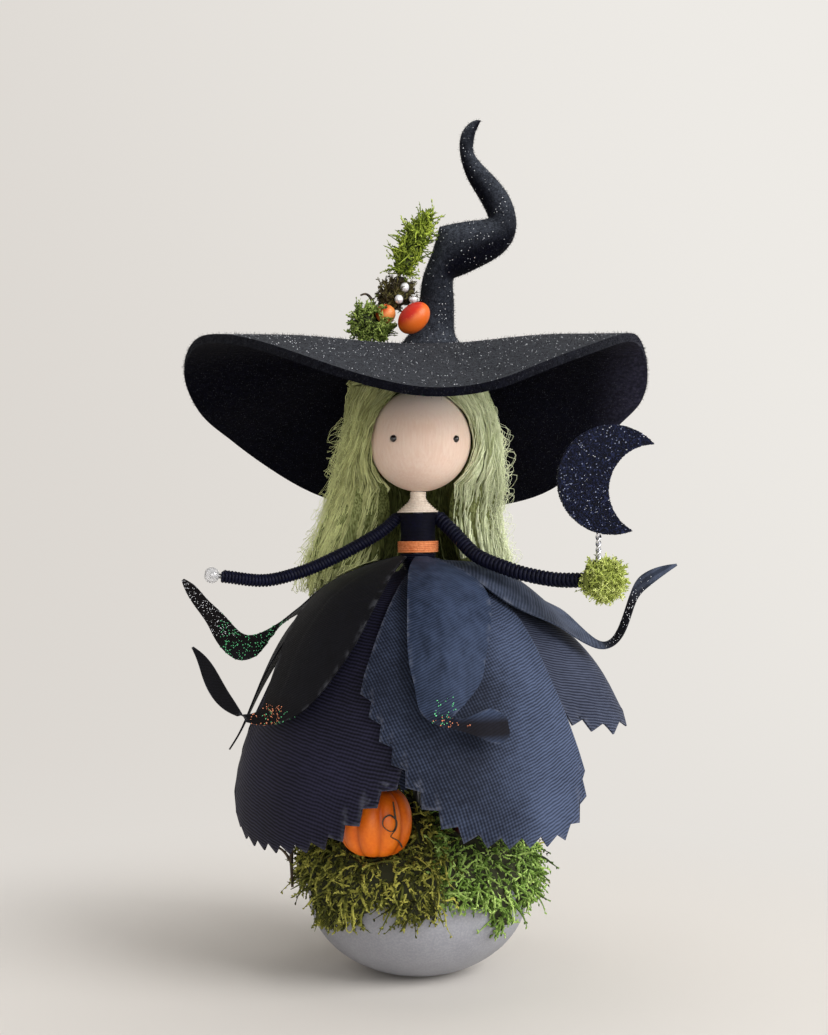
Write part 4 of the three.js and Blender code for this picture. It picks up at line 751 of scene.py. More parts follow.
fibre = Finish("felt_fibre", Roughness=0.9, Specular_IOR_Level=0.1, Base_Color=(13, 13, 23)).grained()
show("brim_fibres", fur(brim, 13000, 0.55, at_edge), fibre, "felt")
show("crown_fibres", fur(crown, 7000, 0.5), fibre, "felt")

# %% [markdown]
# ## Glitter
# The hat, the moon and the petal tips were dusted with glitter. Each grain is a tiny flat
# six-sided flake that flashes when it faces the light. Real flakes, scattered with random
# tilt, flash in a different place from each side, which a painted dot can't do.

# %% Glitter
def glitter(colour, tint, roughness, metallic, specular=0.5):
    settings = {"Roughness": roughness, "Metallic": metallic, "Specular_IOR_Level": specular}
    return Finish(colour + "_glitter", Base_Color=tint, **settings).grained(0.1, 0.3)


silver_glitter = glitter("silver", (232, 235, 240), 0.3, 0.25)
green_glitter = glitter("green", (110, 214, 150), 0.25, 0.2)
orange_glitter = glitter("orange", (240, 150, 110), 0.25, 0.2)


def dust(name, mesh, count, size, finish, slot, keep=None, body="torso", tilt=0.5):
    spots, normals = spread_over(mesh, count, keep)
    show(name, flakes(spots, normals, size, tilt), finish, slot, body=body)


def upward(centres, normals):
    return normals[:, 2] > 0.1


dust("brim_glitter", brim, 1500, 0.19, silver_glitter, "felt", upward)
dust("brim_sparkle", brim, 200, 0.3, silver_glitter, "felt", upward)
dust("crown_glitter", crown, 620, 0.22, silver_glitter, "felt")


def in_box(low, high):
    return lambda centres, normals: np.all((centres > low) & (centres < high), axis=1)


tip_dust = [
    ("front", "front", (3.2, -50, 65), (8, -38, 70.5), green_glitter, 60, 0.36),
    ("front_low", "front", (1.4, -50, 63.8), (11.4, -38, 66.6), orange_glitter, 34, 0.34),
    ("left_front", "left_front", (-39, -27, 60), (-31, -15, 67), orange_glitter, 130, 0.34),
    ("left_low", "left_front", (-36, -30, 60), (-26, -20, 66), green_glitter, 44, 0.34),
    ("left_back", "left_back", (-50, 5, 74), (-33, 20, 86), green_glitter, 420, 0.38),
    ("left_end", "left_back", (-60, 5, 80), (-45, 20, 99), silver_glitter, 300, 0.26),
    ("right", "right", (44, -12, 76), (56, 0, 96), silver_glitter, 120, 0.24),
    ("back", "back", (6, 44, 60), (22, 58, 76), green_glitter, 90, 0.36),
]
for name, petal, low, high, finish, count, size in tip_dust:
    dust("glitter_" + name, cloth_of[petal], count, size, finish, "satin", in_box(low, high))

# %% [markdown]
# ## Wool hair
# The hair is loose spun wool in sage green. It is parted over the face, falls at both sides
# and behind, and rests on the skirt. Wool like this is read by eye as locks, each a twist of
# many crimped fibres, so every lock gets a line of its own and its fibres turn slowly round
# that line. The lines run between the inner and outer faces of the hair's solid. A bed from
# the solid itself lies under them, so that no gap shows through to the back. The bed is
# painted darker than the locks, as painted shade deep in the wool, and darkest behind the
# neck. The locks are painted paler towards the window and low down, as painted light.

# %% Where hair can lie
head_radius = 12.5
head_middle = 128.77
head_shift = 0.4
# height over the head's middle, left reach, right reach, back reach, front reach, shift back,
# least inner radius, face opening at the left and at the right in degrees
hair_levels = np.array([
    [12.8, 5, 3.7, -3.5, -3.5, 0, 5.5, 50, 50],
    [6, 5.7, 6.1, 0, -2.5, 0, 0, 62, 80],
    [0, 6.2, 7.3, 1.5, -2.5, 0, 0, 65, 84],
    [-6, 7.9, 7.8, 1.5, -3.5, 0, 0, 76, 84],
    [-12.4, 9.6, 8.3, 1, -6.5, 2, 7.5, 82, 84],
    [-18, 11.6, 7.6, 0.5, -9, 5, 7, 86, 86],
    [-24, 14, 8.6, 0.5, -10, 6, 8, 86, 86],
    [-29, 16, 10.1, 0.5, -10, 6.5, 9.5, 86, 86],
    [-33, 18, 10.5, 0.5, -10, 7, 11, 86, 86],
    [-37, 18.6, 10.5, 0.5, -10, 7, 12, 86, 86],
])
hair_top, hair_end = hair_levels[[0, -1], 0]


def hair_point(side, height, depth):
    """A point of the hair: side runs from the right of the face to its left, depth outwards."""
    order = hair_levels[::-1]
    level = [np.interp(height, order[:, 0], order[:, k]) for k in range(9)]
    _, left, right, back, front, shift, least, open_left, open_right = level
    hug = smooth(-16, -8, height) * smooth(12, 5, height)
    open_left = open_left - 5 * hug
    open_right = open_right - 9 * hug
    azimuth = np.radians(open_right + (360 - open_left - open_right) * side)
    wide = head_radius + np.where(np.sin(azimuth) > 0, right, left)
    deep = head_radius + np.where(np.cos(azimuth) > 0, front, back)
    over_head = head_radius + 0.5
    inside = np.maximum(least, np.sqrt(np.maximum(0, over_head ** 2 - height ** 2)))
    x = (inside + (wide - inside) * depth) * np.sin(azimuth)
    y = -(inside + (deep - inside) * depth) * np.cos(azimuth)
    return np.stack([head_shift + x, shift + y, head_middle + height], -1)


# Above this line, at each reach from the middle, lies everything that rests on the skirt
petal_layers = 5.9
bell_normal = unit(np.stack([-np.gradient(bell_line[:, 1]), np.gradient(bell_line[:, 0])], 1))
skirt_top = bell_line + bell_normal * petal_layers


def off_the_skirt(points):
    """Lifts points that would sink into the skirt's petals."""
    reach = np.hypot(points[..., 0], points[..., 1])
    floor = waist + np.interp(reach, skirt_top[:, 0], skirt_top[:, 1])
    lifted = points.copy()
    lifted[..., 2] = np.maximum(points[..., 2], floor)
    return lifted


print("hair hangs from", round(head_middle + hair_top, 1), "to", round(head_middle + hair_end, 1))

# %% Locks of wool
fibre_radius = 0.125


def lock_lines(sides, count, ends, depths, steps=24):
    """Middle lines of locks, from the crown of the head down to their ends."""
    side = chance.uniform(*sides, count)[:, None]
    low, high = depths
    depth = (low + (high - low) * chance.random(count) ** 0.7)[:, None]
    end = chance.uniform(*ends, count)[:, None]
    share = np.linspace(0, 1, steps)[None]
    height = hair_top + (end - hair_top) * share
    sway = 0.03 * np.sin(share * 8 + chance.uniform(0, 6, (count, 1))) * share
    return hair_point(np.clip(side + sway, *sides), height, depth * (1 - 0.08 * share))


def wool(lines, fibres, thick, crimp):
    """Turns each lock's line into a twist of crimped fibres."""
    count, steps, _ = lines.shape
    along = unit(np.gradient(lines, axis=1))
    side = unit(np.cross(along, [0.3, 1.0, 0.1]))
    up = np.cross(along, side)
    run = np.cumsum(np.linalg.norm(np.diff(lines, axis=1, prepend=lines[:, :1]), axis=2), axis=1)
    reach = thick * np.sqrt(chance.random((count, fibres, 1)))
    taper = 0.75 + 0.25 * np.sin(run[:, None] / 6 + chance.uniform(0, 6, (count, 1, 1)))
    twist = run[:, None] * chance.uniform(0.22, 0.42, (count, 1, 1))
    turn = twist + chance.uniform(0, 2 * math.pi, (count, fibres, 1))
    wave = chance.uniform(0, 6, (count, fibres, 1))
    wave = wave + run[:, None] * chance.uniform(1.1, 1.9, (count, fibres, 1))
    out_side = reach * taper * np.cos(turn) + crimp * np.sin(wave)
    out_up = reach * taper * np.sin(turn) + crimp * np.cos(wave * 1.17)
    fibre = lines[:, None] + side[:, None] * out_side[..., None] + up[:, None] * out_up[..., None]
    fibre = off_the_skirt(fibre.reshape(count * fibres, steps, 3))
    radii = fibre_radius * (1 - 0.35 * np.linspace(0, 1, steps) ** 6)[None]
    radii = radii * chance.uniform(0.7, 1.25, (count * fibres, 1))
    tone = np.repeat(chance.uniform(0, 1, count), fibres) * 0.55 + chance.random(count * fibres) * 0.45
    return *tubes(fibre, radii), np.repeat(tone, steps * 3)


def wool_finish():
    """Sage wool with painted light: paler towards the window at the right, and paler low down."""
    finish = Finish("sage_wool", Roughness=0.85, Specular_IOR_Level=0.2, Sheen_Weight=0.08)
    tone = finish.stored("tone")
    cloud = finish.noise(5, 2)
    # painted light: side paints the wool paler towards the window, and ends paints it paler low down
    side = finish.place("X").rise(-0.016, 0.012)
    ends = 1 - finish.place("Z").rise(0.1, 0.118)
    share = (tone * 0.75 + cloud * 0.5 + ends * 0.2).rise(0.1, 1.05)
    dark = finish.tint(side, (112, 113, 56), (150, 161, 104))
    finish.colour(share, dark, finish.tint(side, (226, 231, 164), (244, 250, 212)))
    return finish.relief(finish.noise(0.25, 2), 0.3, 0.05)


def hair_bed(name, node):
    """The hair's solid, set back under the locks, with fine streaks that fall like hair. Its
    colour is painted shade: darker than the locks, and darkest on its inner faces below the chin.
    """
    bed = refined(node, 1, 70)
    place = points_of(bed)
    normal = normals_of(bed)
    from_axis = place * [1, 1, 0] - [head_shift, 0, 0]
    facing = (normal * unit(from_axis)).sum(1)
    sunk = place - normal * np.where(facing > 0, 1.3, 0.1)[:, None]
    height = sunk[:, 2] - head_middle
    sunk[:, 2] += 0.5 * np.maximum(0, -29 - height)
    # inner marks the inner faces below the chin, behind the neck, for painted shade
    store(bed, inner=smooth(-0.1, -0.7, facing) * smooth(-6, -13, height))
    move_points(bed, sunk)
    show(name, bed, shade_bed_wool, "yarn")


def shade_bed_wool_finish():
    finish = Finish("sage_wool_shade_bed", Roughness=0.9, Specular_IOR_Level=0.1)
    streak = finish.noise(0.35, 3, (1, 1, 14))
    share = streak.rise(0.3, 0.7)
    outer_painted_shade = finish.tint(share, (84, 90, 44), (162, 170, 114))
    # painted shade: the bed is darker than the locks, and darker still on its inner faces
    finish.colour(finish.stored("inner"), outer_painted_shade, finish.tint(share, (30, 34, 12), (84, 90, 46)))
    return finish.relief(streak, 0.9, 0.3)


wool_green = wool_finish()
shade_bed_wool = shade_bed_wool_finish()
# name, sides, number of locks, where they end, how deep they lie, sides of those at the face
locks = [
    ("right", (0.0, 0.31), 78, (-34, -28), (0.42, 0.97), (0.0, 0.035)),
    ("back", (0.31, 0.67), 92, (-37, -29), (0.7, 1.05), None),
    ("left", (0.67, 1.0), 78, (-40, -32), (0.42, 0.97), (0.965, 1.0)),
]
for name, sides, count, ends, depths, hugging in locks:
    lines = lock_lines(sides, count, ends, depths)
    if hugging:
        lines = np.concatenate([lines, lock_lines(hugging, 9, ends, (0.02, 0.5))])
    show("wool_" + name, wool(lines, 14, 0.85, 0.15), wool_green, "yarn", "hair_" + name)
    hair_bed("wool_" + name + "_bed", "hair_" + name)


def crown_lines(count, steps=14):
    """Lines that lie over the head's top and come down to where the hanging hair starts."""
    azimuth = np.radians(chance.uniform(50, 310, count))[:, None]
    share = np.linspace(0.1, 1, steps)[None]
    layer = chance.uniform(0.2, 1, count)[:, None]
    wide = head_radius + np.where(np.sin(azimuth) > 0, 3.5, 4.8)
    x = share ** 0.8 * wide * np.sin(azimuth)
    y = -share ** 0.8 * (head_radius - 3.7) * np.cos(azimuth)
    z = head_middle + 13.2 + (1 - share ** 2.6) * 7.6 * layer
    return np.stack([head_shift + x, y, z + 0 * x], -1)


show("wool_crown", wool(crown_lines(70), 22, 1.0, 0.16), wool_green, "yarn", "hair_crown")


def short_falls(count, sides, tops, falls, steps=12):
    """Side, height and share of the way down for the points of short hairs."""
    side = chance.uniform(*sides, count)[:, None]
    top = chance.uniform(*tops, count)[:, None]
    share = np.linspace(0, 1, steps)[None]
    return side + 0 * share, top - chance.uniform(*falls, count)[:, None] * share, share


def stray_lines(count, sides):
    """Single thin hairs that curl away from the mass."""
    side, height, share = short_falls(count, sides, (-26, 6), (3, 9))
    rest = hair_point(side, height, 0.95 + 0 * share)
    curl = chance.uniform(0.6, 1.9, (count, 1, 1)) * np.sin(math.pi * share)[..., None]
    phase = chance.uniform(0, 6, (count, 1)) + share * chance.uniform(3, 9, (count, 1))
    away = unit((rest - [head_shift, 0, head_middle]) * [1, 1, 0])
    swing = np.stack([np.cos(phase), np.sin(phase) * 0.6, np.sin(phase * 1.3) * 0.8], -1)
    return rest + away * curl * 1.7 + swing * curl * 0.75


def frizz_lines(count, sides):
    """Short crinkled fibres that break up the locks, most of them near the outer face."""
    side, height, share = short_falls(count, sides, (-30, 10), (4, 11))
    depth = chance.uniform(0.7, 1.02, (count, 1))
    rest = hair_point(side, np.maximum(height, hair_end), depth + 0 * share)
    reach = chance.uniform(0.25, 0.75, (count, 1, 1))
    phase = chance.uniform(0, 6, (count, 1)) + share * chance.uniform(5, 13, (count, 1))
    return rest + reach * np.stack([np.cos(phase), np.sin(phase * 0.8), np.sin(phase * 1.3)], -1)


frizz = [("right", (0.0, 0.31), 1900), ("back", (0.31, 0.69), 1500), ("left", (0.69, 1.0), 1900)]
for name, sides, count in frizz:
    points, faces = tubes(off_the_skirt(frizz_lines(count, sides)), 0.06)
    tone = np.repeat(chance.uniform(0.6, 1.0, count), len(points) // count)
    show("wool_frizz_" + name, (points, faces, tone), wool_green, "yarn")

strays = off_the_skirt(np.concatenate([stray_lines(240, (0, 0.3)), stray_lines(240, (0.68, 1))]))
points, faces = tubes(strays, 0.045)
show("wool_strays", (points, faces, np.ones(len(points))), wool_green, "yarn")

# %% [markdown]
# ## Wooden head and eyes
# The head is a turned beech bead: a ball with a hole from top to bottom, sanded and left
# pale. Its grain shows as fine short streaks. A finer ball than the solid is turned here, the
# bore is left open, and two small pits take the eyes, which are black glass beads.
# The top of the head is painted paler, as painted light against the brim's shade.

# %% Head
def ball(centre, radius, around, up, limit=90.0):
    """Points and faces of a ball, or of the belt of one up to a latitude."""
    climb = np.radians(np.linspace(-limit, limit, up + 1))[:, None]
    turn = 2 * math.pi * np.arange(around)[None] / around
    wide, high = np.cos(climb), np.sin(climb)
    ring = np.stack([wide * np.cos(turn), wide * np.sin(turn), high + 0 * turn], -1)
    return (centre + radius * ring).reshape(-1, 3), ring_faces(1, up + 1, around)


head_centre = np.array([head_shift, 0, head_middle])
eye_radius = 0.9
eye_spots = []
for sign in (-1, 1):
    turn = math.radians(7 + sign * 37.8)
    reach = head_radius - 0.45 * eye_radius
    eye_spots.append(head_centre + reach * np.array([math.sin(turn), -math.cos(turn), 0]))


def wood_finish():
    soft = {"Subsurface_Weight": 0.08, "Subsurface_Scale": 0.002}
    finish = Finish("pale_beech", Roughness=0.55, Specular_IOR_Level=0.3, **soft)
    streak = finish.noise(0.55, 3, (1, 1, 9))
    pore = finish.noise(0.3, 2, (1, 1, 7), 4.0)
    cloud = finish.noise(8, 2)
    tone = streak * 0.6 + cloud * 0.4
    base = finish.tint(tone.rise(0.3, 0.7), (229, 198, 178), (237, 212, 195))
    # painted light: the top of the head is painted paler
    base = finish.tint(finish.place("Z").rise(0.131, 0.14), base, (254, 236, 224))
    finish.colour(pore.rise(0.62, 0.74) * 0.16, base, (186, 146, 122))
    return finish.relief(streak + pore, 0.15, 0.05)


points, faces = ball(head_centre, head_radius, 192, 120, 81.5)
for spot in eye_spots:
    gap = np.linalg.norm(points - spot, axis=1, keepdims=True)
    points = points + unit(head_centre - spot) * 0.7 * (1 - smooth(0.72, 1.02, gap))
bore = head_centre + np.linspace(12.3, -12.3, 9)[:, None] * [0, 0, 1]
inner_points, inner_faces = tubes(bore[None], 1.84, 48)
head_shape = joined((points, faces), (inner_points, inner_faces[:, ::-1]))
show("beech_head", head_shape, wood_finish(), "bead_wood", "head_bead")

eye_glass = Finish("black_glass_bead", Roughness=0.12, Base_Color=(20, 12, 12), Coat_Weight=0.6).grained()
for side, spot in zip(("left", "right"), eye_spots):
    show("eye_bead_" + side, ball(spot, eye_radius, 32, 24), eye_glass, "black_bead", "eye_" + side)

# %% [markdown]
# ## Wound thread
# Belt, bodice, neck and sleeves are thread wound round wire, turn by turn. A winding is one
# long thread on a helix, so one function lays a helix on any middle line whose thickness is
# known. A slightly thinner core under it closes the small gaps between the turns.

# %% Windings
def winding(line, radii, pitch, thread, around=26):
    """Points and faces of thread wound on a core. line is points, radii one per point."""
    run = run_of(line)
    steps = int(run[-1] / pitch * around)
    even = np.linspace(0, run[-1], steps)
    middle = spaced(line, steps)
    radius = np.interp(even, run, radii)
    along = unit(np.gradient(middle, axis=0))
    side = carried(along[None], [0.1, 0.9, 0.3])[0]
    up = np.cross(along, side)
    turn = 2 * math.pi * even / pitch
    wobble = 0.03 * thread * np.sin(even * 5.1)
    reach = (radius - thread + wobble)[:, None]
    helix = middle + reach * (side * np.cos(turn)[:, None] + up * np.sin(turn)[:, None])
    laid = tubes(helix[None], thread, 6)
    every, cap, closed = 13, 0.02, [0.01]
    inner = np.concatenate([middle[:1], middle[::every], middle[-1:], middle[-1:]])
    inner[0] -= along[0] * cap
    inner[-1] += along[-1] * cap
    under = radius - 1.05 * thread
    thick = np.concatenate([closed, under[::every], under[-1:], closed])
    return joined(laid, tubes(inner[None], thick, 20))


def thread_finish(name, dark, light, shine):
    finish = Finish(name, Roughness=shine, Specular_IOR_Level=0.14, Sheen_Weight=0.01)
    ply = finish.noise(0.5, 3)
    cloud = finish.noise(4, 2)
    finish.colour((ply * 0.7 + cloud * 0.4).rise(0.3, 0.85), dark, light)
    return finish.relief(ply, 0.5, 0.06)


navy_thread = thread_finish("navy_thread", (2, 2, 14), (15, 18, 44), 0.5)
bodice_thread = thread_finish("bodice_thread", (0, 0, 9), (6, 7, 32), 0.6)
orange_thread = thread_finish("orange_thread", (196, 104, 56), (240, 160, 108), 0.55)
pale_thread = thread_finish("pale_thread", (206, 190, 174), (238, 226, 212), 0.6)


bodice_low = 104.22
neck_low = 111.12
# name, solid, radius and height over the part's foot, that foot, pitch, thread radius, finish, slot
upright = [
    ("belt", "waist_belt", [(5, 0.3), (5.05, 2.9)], waist, 0.46, 0.26, orange_thread, "orange_thread"),
    ("bodice", "bodice", [(4.35, 0.05), (4.25, 1.5), (4.35, 4.2), (4.7, 6.7)], bodice_low, 0.34, 0.19,
     bodice_thread, "navy_thread"),
    ("neck", "neck_wrap", [(5.15, 0.2), (3.9, 1.3), (2.5, 2.6), (1.95, 3.6), (2, 5.2)], neck_low, 0.42, 0.23,
     pale_thread, "pale_thread"),
    ("waist", "waist_core", [(3, -8.9), (3, -4.5), (3.9, -2.4), (4.5, -0.1)], waist, 0.5, 0.27,
     navy_thread, "navy_thread"),
]
for name, node, profile, foot, pitch, thread, finish, slot in upright:
    radii, heights = np.array(profile).T
    line = np.stack([0 * radii, 0 * radii, foot + heights], 1)
    show(name + "_thread", winding(line, radii, pitch, thread, 48), finish, slot, node)

shoulder = np.array([4.9, 0, 110.12])
arm_routes = {
    "left": [
        [0, 0, 0], [3.4, -1, -3.1], [8.9, -3.2, -6.5], [17.5, -6.5, -10.9], [23.3, -9, -13.2],
        [31.3, -12, -15], [41.2, -15, -13.9],
    ],
    "right": [
        [0, 0, 0], [4.1, -3, -4.1], [8.7, -7, -8.9], [14.5, -11, -11.6], [21.4, -14, -13.7],
        [28.2, -17, -14.7], [34.4, -20, -14.6],
    ],
}
arm_lines = {}
for side, sign, radius, pitch, thread in (("left", -1, 1.6, 0.8, 0.42), ("right", 1, 1.85, 1.08, 0.56)):
    arm = "arm_" + side
    line = curve_through((arm_routes[side] + shoulder) * [sign, 1, 1], 120)
    arm_lines[side] = line
    start = line[0] - unit(line[1] - line[0]) * radius * 0.9
    line = np.vstack([start, line])
    radii = radius * np.clip(np.arange(len(line)) / 3.0 + 0.35, 0, 1) ** 0.6
    made = winding(line, radii, pitch, thread)
    show(side + "_sleeve_thread", made, navy_thread, "navy_thread", arm + "_sleeve", body=arm)

# %% [markdown]
# ## Hands and wand
# The left arm ends in a clear round bead. The right arm ends in a ball of dried lime-green
# moss that holds the wand: two silver wires twisted together, with a crescent cut from
# glitter sheet on top. The twist is two real helices, because its bright and dark bands are
# what the eye takes for twisted wire.

# %% Beads and wires
dull_wire = Finish("armature_wire", Roughness=0.35, Metallic=1.0, Base_Color=(150, 150, 152)).grained()
silver_wire = Finish("silver_wire", Roughness=0.22, Metallic=1.0, Base_Color=(222, 222, 226)).grained()
clear_bead = Finish(
    "clear_bead", Roughness=0.08, Base_Color=(238, 238, 240), Coat_Weight=0.5,
    Transmission_Weight=0.55, IOR=1.45,
).grained()

arm_end = {}
for side, beyond in (("left", 2.6), ("right", 2.8)):
    line = arm_lines[side]
    arm_end[side] = line[-1], unit(line[-1] - line[-2])
    inner = np.vstack([line[::6], line[-1:], line[-1] + arm_end[side][1] * beyond])
    arm = "arm_" + side
    show("arm_wire_" + side, tubes(inner[None], 0.6, 12), dull_wire, "wire", arm + "_wire", body=arm)

post = np.linspace(28.5, 136, 20)[:, None] * [0, 0, 1]
show("post_wire", tubes(post[None], 1.2, 20), dull_wire, "wire", "armature_post")

wrist, outward = arm_end["left"]
hand_middle = wrist + outward * 2.4
hand = mesh_of("clear_hand_bead", *ball(hand_middle, 1.88, 48, 32))
away = points_of(hand) - hand_middle
on_axis = np.linalg.norm(np.cross(away, outward), axis=1)
pull = 1 - 0.35 * (1 - smooth(0.5, 1.1, on_axis))
move_points(hand, hand_middle + away * pull[:, None])
show("clear_hand_bead", hand, clear_bead, "clear_glass", "hand_bead_left", body="arm_left")

wrist, outward = arm_end["right"]
wand_foot = wrist + outward * 4.08 + [-1.4, 0, 5.4]
climb = np.linspace(-1.5, 8.2, 90)
turns = [climb * 2.1 + phase for phase in (0, math.pi)]
twisted = [wand_foot + np.stack([0.36 * np.cos(turn), 0.36 * np.sin(turn), climb], 1) for turn in turns]
wand_twist = tubes(np.array(twisted), 0.34, 12)
show("wand_twist", wand_twist, silver_wire, "silver_wire", "wand_wire", body="wand")

# %% [markdown]
# ## Moss
# Dried moss is a tangle of soft stems with tiny leaves. A painted lump can't carry it,
# because its outline is what makes it moss. So each stem is a curved tube that starts on the
# solid's surface and leans out, and short blades grow along it. Every stem has a tone of its
# own, from brown green to lime.
# Under the stems lies a bed from the solid, painted dark as the shade between them.

# %% Stems and blades
def mossy(spots, normals, reach, stem, leaves, leaf_reach, droop=0.0, curl=0.8, stand=0.3, lowest=None):
    """Curled fronds that lean out of a surface: a tapering stem with small leaves along it.

    lowest gives, for each point, the height that a frond started there may hang down to.
    """
    count, steps = len(spots), 8
    lean = unit(normals * stand + chance.normal(size=(count, 3)) * 0.6 + [0, 0, -droop])
    inward = (lean * normals).sum(1, keepdims=True)
    lean = unit(lean + normals * np.maximum(0, 0.12 - inward))
    bend = curl * chance.normal(size=(count, 3)) + [0, 0, -0.5 * droop]
    coil = unit(np.cross(lean, chance.normal(size=(count, 3))))
    share = np.linspace(0, 1, steps)[None, :, None]
    length = reach * chance.uniform(0.5, 1.35, (count, 1, 1))
    swing = np.sin(share * chance.uniform(2, 6, (count, 1, 1))) * 0.16 * coil[:, None]
    lines = spots[:, None] + length * (lean[:, None] * share + bend[:, None] * 0.5 * share ** 2 + swing)
    if lowest is not None:
        limit = lowest(spots)
        hang = spots[:, 2] - lines[:, :, 2].min(1)
        room = np.clip((spots[:, 2] - limit) / np.maximum(hang, 0.01), 0.3, 1)
        lines = spots[:, None] + (lines - spots[:, None]) * room[:, None, None]
    radii = stem * chance.uniform(0.7, 1.3, (count, 1)) * (1 - 0.75 * share[:, :, 0] ** 2)
    tone = chance.uniform(0, 1, count)
    stems = tubes(lines, radii)
    seat = chance.integers(0, steps, (count, leaves))
    rows = np.arange(count)[:, None]
    root = lines[rows, seat].reshape(-1, 3)
    along = unit(np.gradient(lines, axis=1))[rows, seat].reshape(-1, 3)
    outward = unit(chance.normal(size=root.shape) * 0.62 + along * 0.95)
    blade = leaf_reach * chance.uniform(0.5, 1.3, (len(root), 1))
    tips = root + outward * blade
    middle = (root + tips) / 2 + 0.14 * blade * chance.normal(size=root.shape)
    blades = tubes(np.stack([root, middle, tips], 1), [stem * 0.45, stem * 0.75, stem * 0.1])
    leaf_tone = np.repeat(tone, leaves) + 0.14 * chance.normal(size=len(root)) + 0.06
    tones = [np.repeat(tone, steps * 3), np.repeat(np.clip(leaf_tone, 0, 1), 9)]
    return *joined(stems, blades), np.concatenate(tones)


def moss_finish(name, dark, middle, light):
    finish = Finish(name, Roughness=0.75, Specular_IOR_Level=0.3)
    share = finish.stored("tone") * 0.8 + (finish.noise(2.4, 3) - 0.4) * 0.8
    stops = [(0.0, dark), (0.5, middle), (1.0, light)]
    finish.drive("Base Color", finish.node("ShaderNodeValToRGB", {"stops": stops}, {"Fac": share}))
    return finish.relief(finish.noise(0.3, 2), 0.3, 0.05)


olive_moss = moss_finish("olive_moss", (22, 20, 5), (94, 98, 34), (206, 202, 96))
green_moss = moss_finish("green_moss", (30, 42, 12), (126, 160, 68), (196, 222, 128))
dark_moss = moss_finish("dark_moss", (36, 30, 18), (70, 60, 32), (116, 112, 58))
lime_moss = moss_finish("lime_moss", (128, 140, 54), (186, 198, 100), (224, 230, 152))
low_moss = moss_finish("low_hat_moss", (20, 26, 6), (96, 116, 42), (190, 208, 112))
tall_moss = moss_finish("tall_hat_moss", (44, 56, 8), (112, 130, 32), (190, 206, 82))
# the beds under the moss are painted shade: dark, as the gaps between the stems are
moss_shade_bed, lime_shade_bed, green_shade_bed, low_shade_bed, brown_shade_bed = (
    Finish(name + "_bed", Roughness=0.9, Base_Color=tint).grained()
    for name, tint in (
        ("moss", (38, 40, 16)), ("lime", (118, 128, 54)), ("green", (60, 68, 24)),
        ("low", (36, 42, 14)), ("brown", (44, 36, 24)),
    )
)


def tuft_on(
    name, node, count, finish, slot, shade_bed_finish,
    keep=None, body="torso", sink=0.9, start=0.9, hollow=None, **form,
):
    """A bed from the solid, set back a little and painted dark as the shade among the stems,
    with moss stems all over it.
    """
    bed = refined(node, 1, 70)
    spots, normals = spread_over(bed, count, keep)
    place = points_of(bed)
    sunk = place - normals_of(bed) * sink
    if hollow is not None:
        gap = np.hypot(place[:, 0] - hollow[0], place[:, 2] - hollow[2])
        ahead = np.maximum(0, hollow[1] + 1.4 - sunk[:, 1])
        sunk[:, 1] += ahead * (1 - smooth(2.6, 4.2, gap))
    lowest = form.get("lowest")
    if lowest:
        bare = place[:, 2] < lowest(place)
        sunk[bare] = place[bare] * [0.8, 0.8, 1]
    show(name, mossy(spots - normals * start, normals, **form), finish, slot, node, body=body)
    move_points(bed, sunk)
    show(name + "_bed", bed, shade_bed_finish, slot, body=body)


# How low the moss hangs along the pebble's front, as x and height in millimetres
moss_hem = np.array([
    (-33, 27), (-27, 26), (-22.5, 15), (-13.5, 14.5), (-11, 21), (-7.6, 21), (-6, 17), (0.5, 16),
    (2, 11), (4, 15), (5.5, 20), (17, 20), (18.8, 12.5), (22, 12.5), (23, 25), (25.5, 25), (26, 14),
    (27.5, 17), (30, 27), (33, 28),
])


def hangs_to(places):
    """The lowest that moss may reach at each place. Only the front has a known hem."""
    hem = np.interp(places[:, 0], moss_hem[:, 0], moss_hem[:, 1])
    return np.where(places[:, 1] < 0, hem, 13.0)


def outer_moss(centres, normals):
    """Where the moss faces away from the pebble's middle and lies above its hem."""
    outward = ((centres - [0, 0, 19]) * normals).sum(1) > 0
    return outward & (centres[:, 2] > hangs_to(centres) + 0.6)


moss_form = dict(
    keep=outer_moss, reach=4.2, stem=0.34, leaves=12, leaf_reach=0.85, droop=0.7, curl=0.55, stand=0.15,
    start=1.4, lowest=hangs_to,
)
for name, count, finish, slot in (
    ("left", 400, olive_moss, "moss"),
    ("front", 760, olive_moss, "moss"),
    ("right", 820, green_moss, "moss_bright"),
    ("back_right", 800, olive_moss, "moss"),
    ("back_left", 800, olive_moss, "moss"),
):
    tuft_on("moss_" + name, "base_moss_" + name, count, finish, slot, moss_shade_bed, **moss_form)

ball_form = dict(reach=1.65, stem=0.22, leaves=8, leaf_reach=0.8, curl=0.4, stand=0.5, sink=1.1)
tuft_on("wand_moss", "wand_moss_ball", 480, lime_moss, "moss_bright", lime_shade_bed, body="arm_right", **ball_form)


def middle_of(node):
    """The middle of a solid's box, in millimetres."""
    low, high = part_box(node)
    return (np.array(low) + np.array(high)) / 2 / mm


left_berry = middle_of("hat_berry_left")


def beside_berry(centres, normals):
    """Leaves bare the part of the low tuft in front of the left berry."""
    apart = np.hypot(centres[:, 0] - left_berry[0], centres[:, 2] - left_berry[2])
    return (apart > 3.2) | (normals[:, 1] > 0.3)


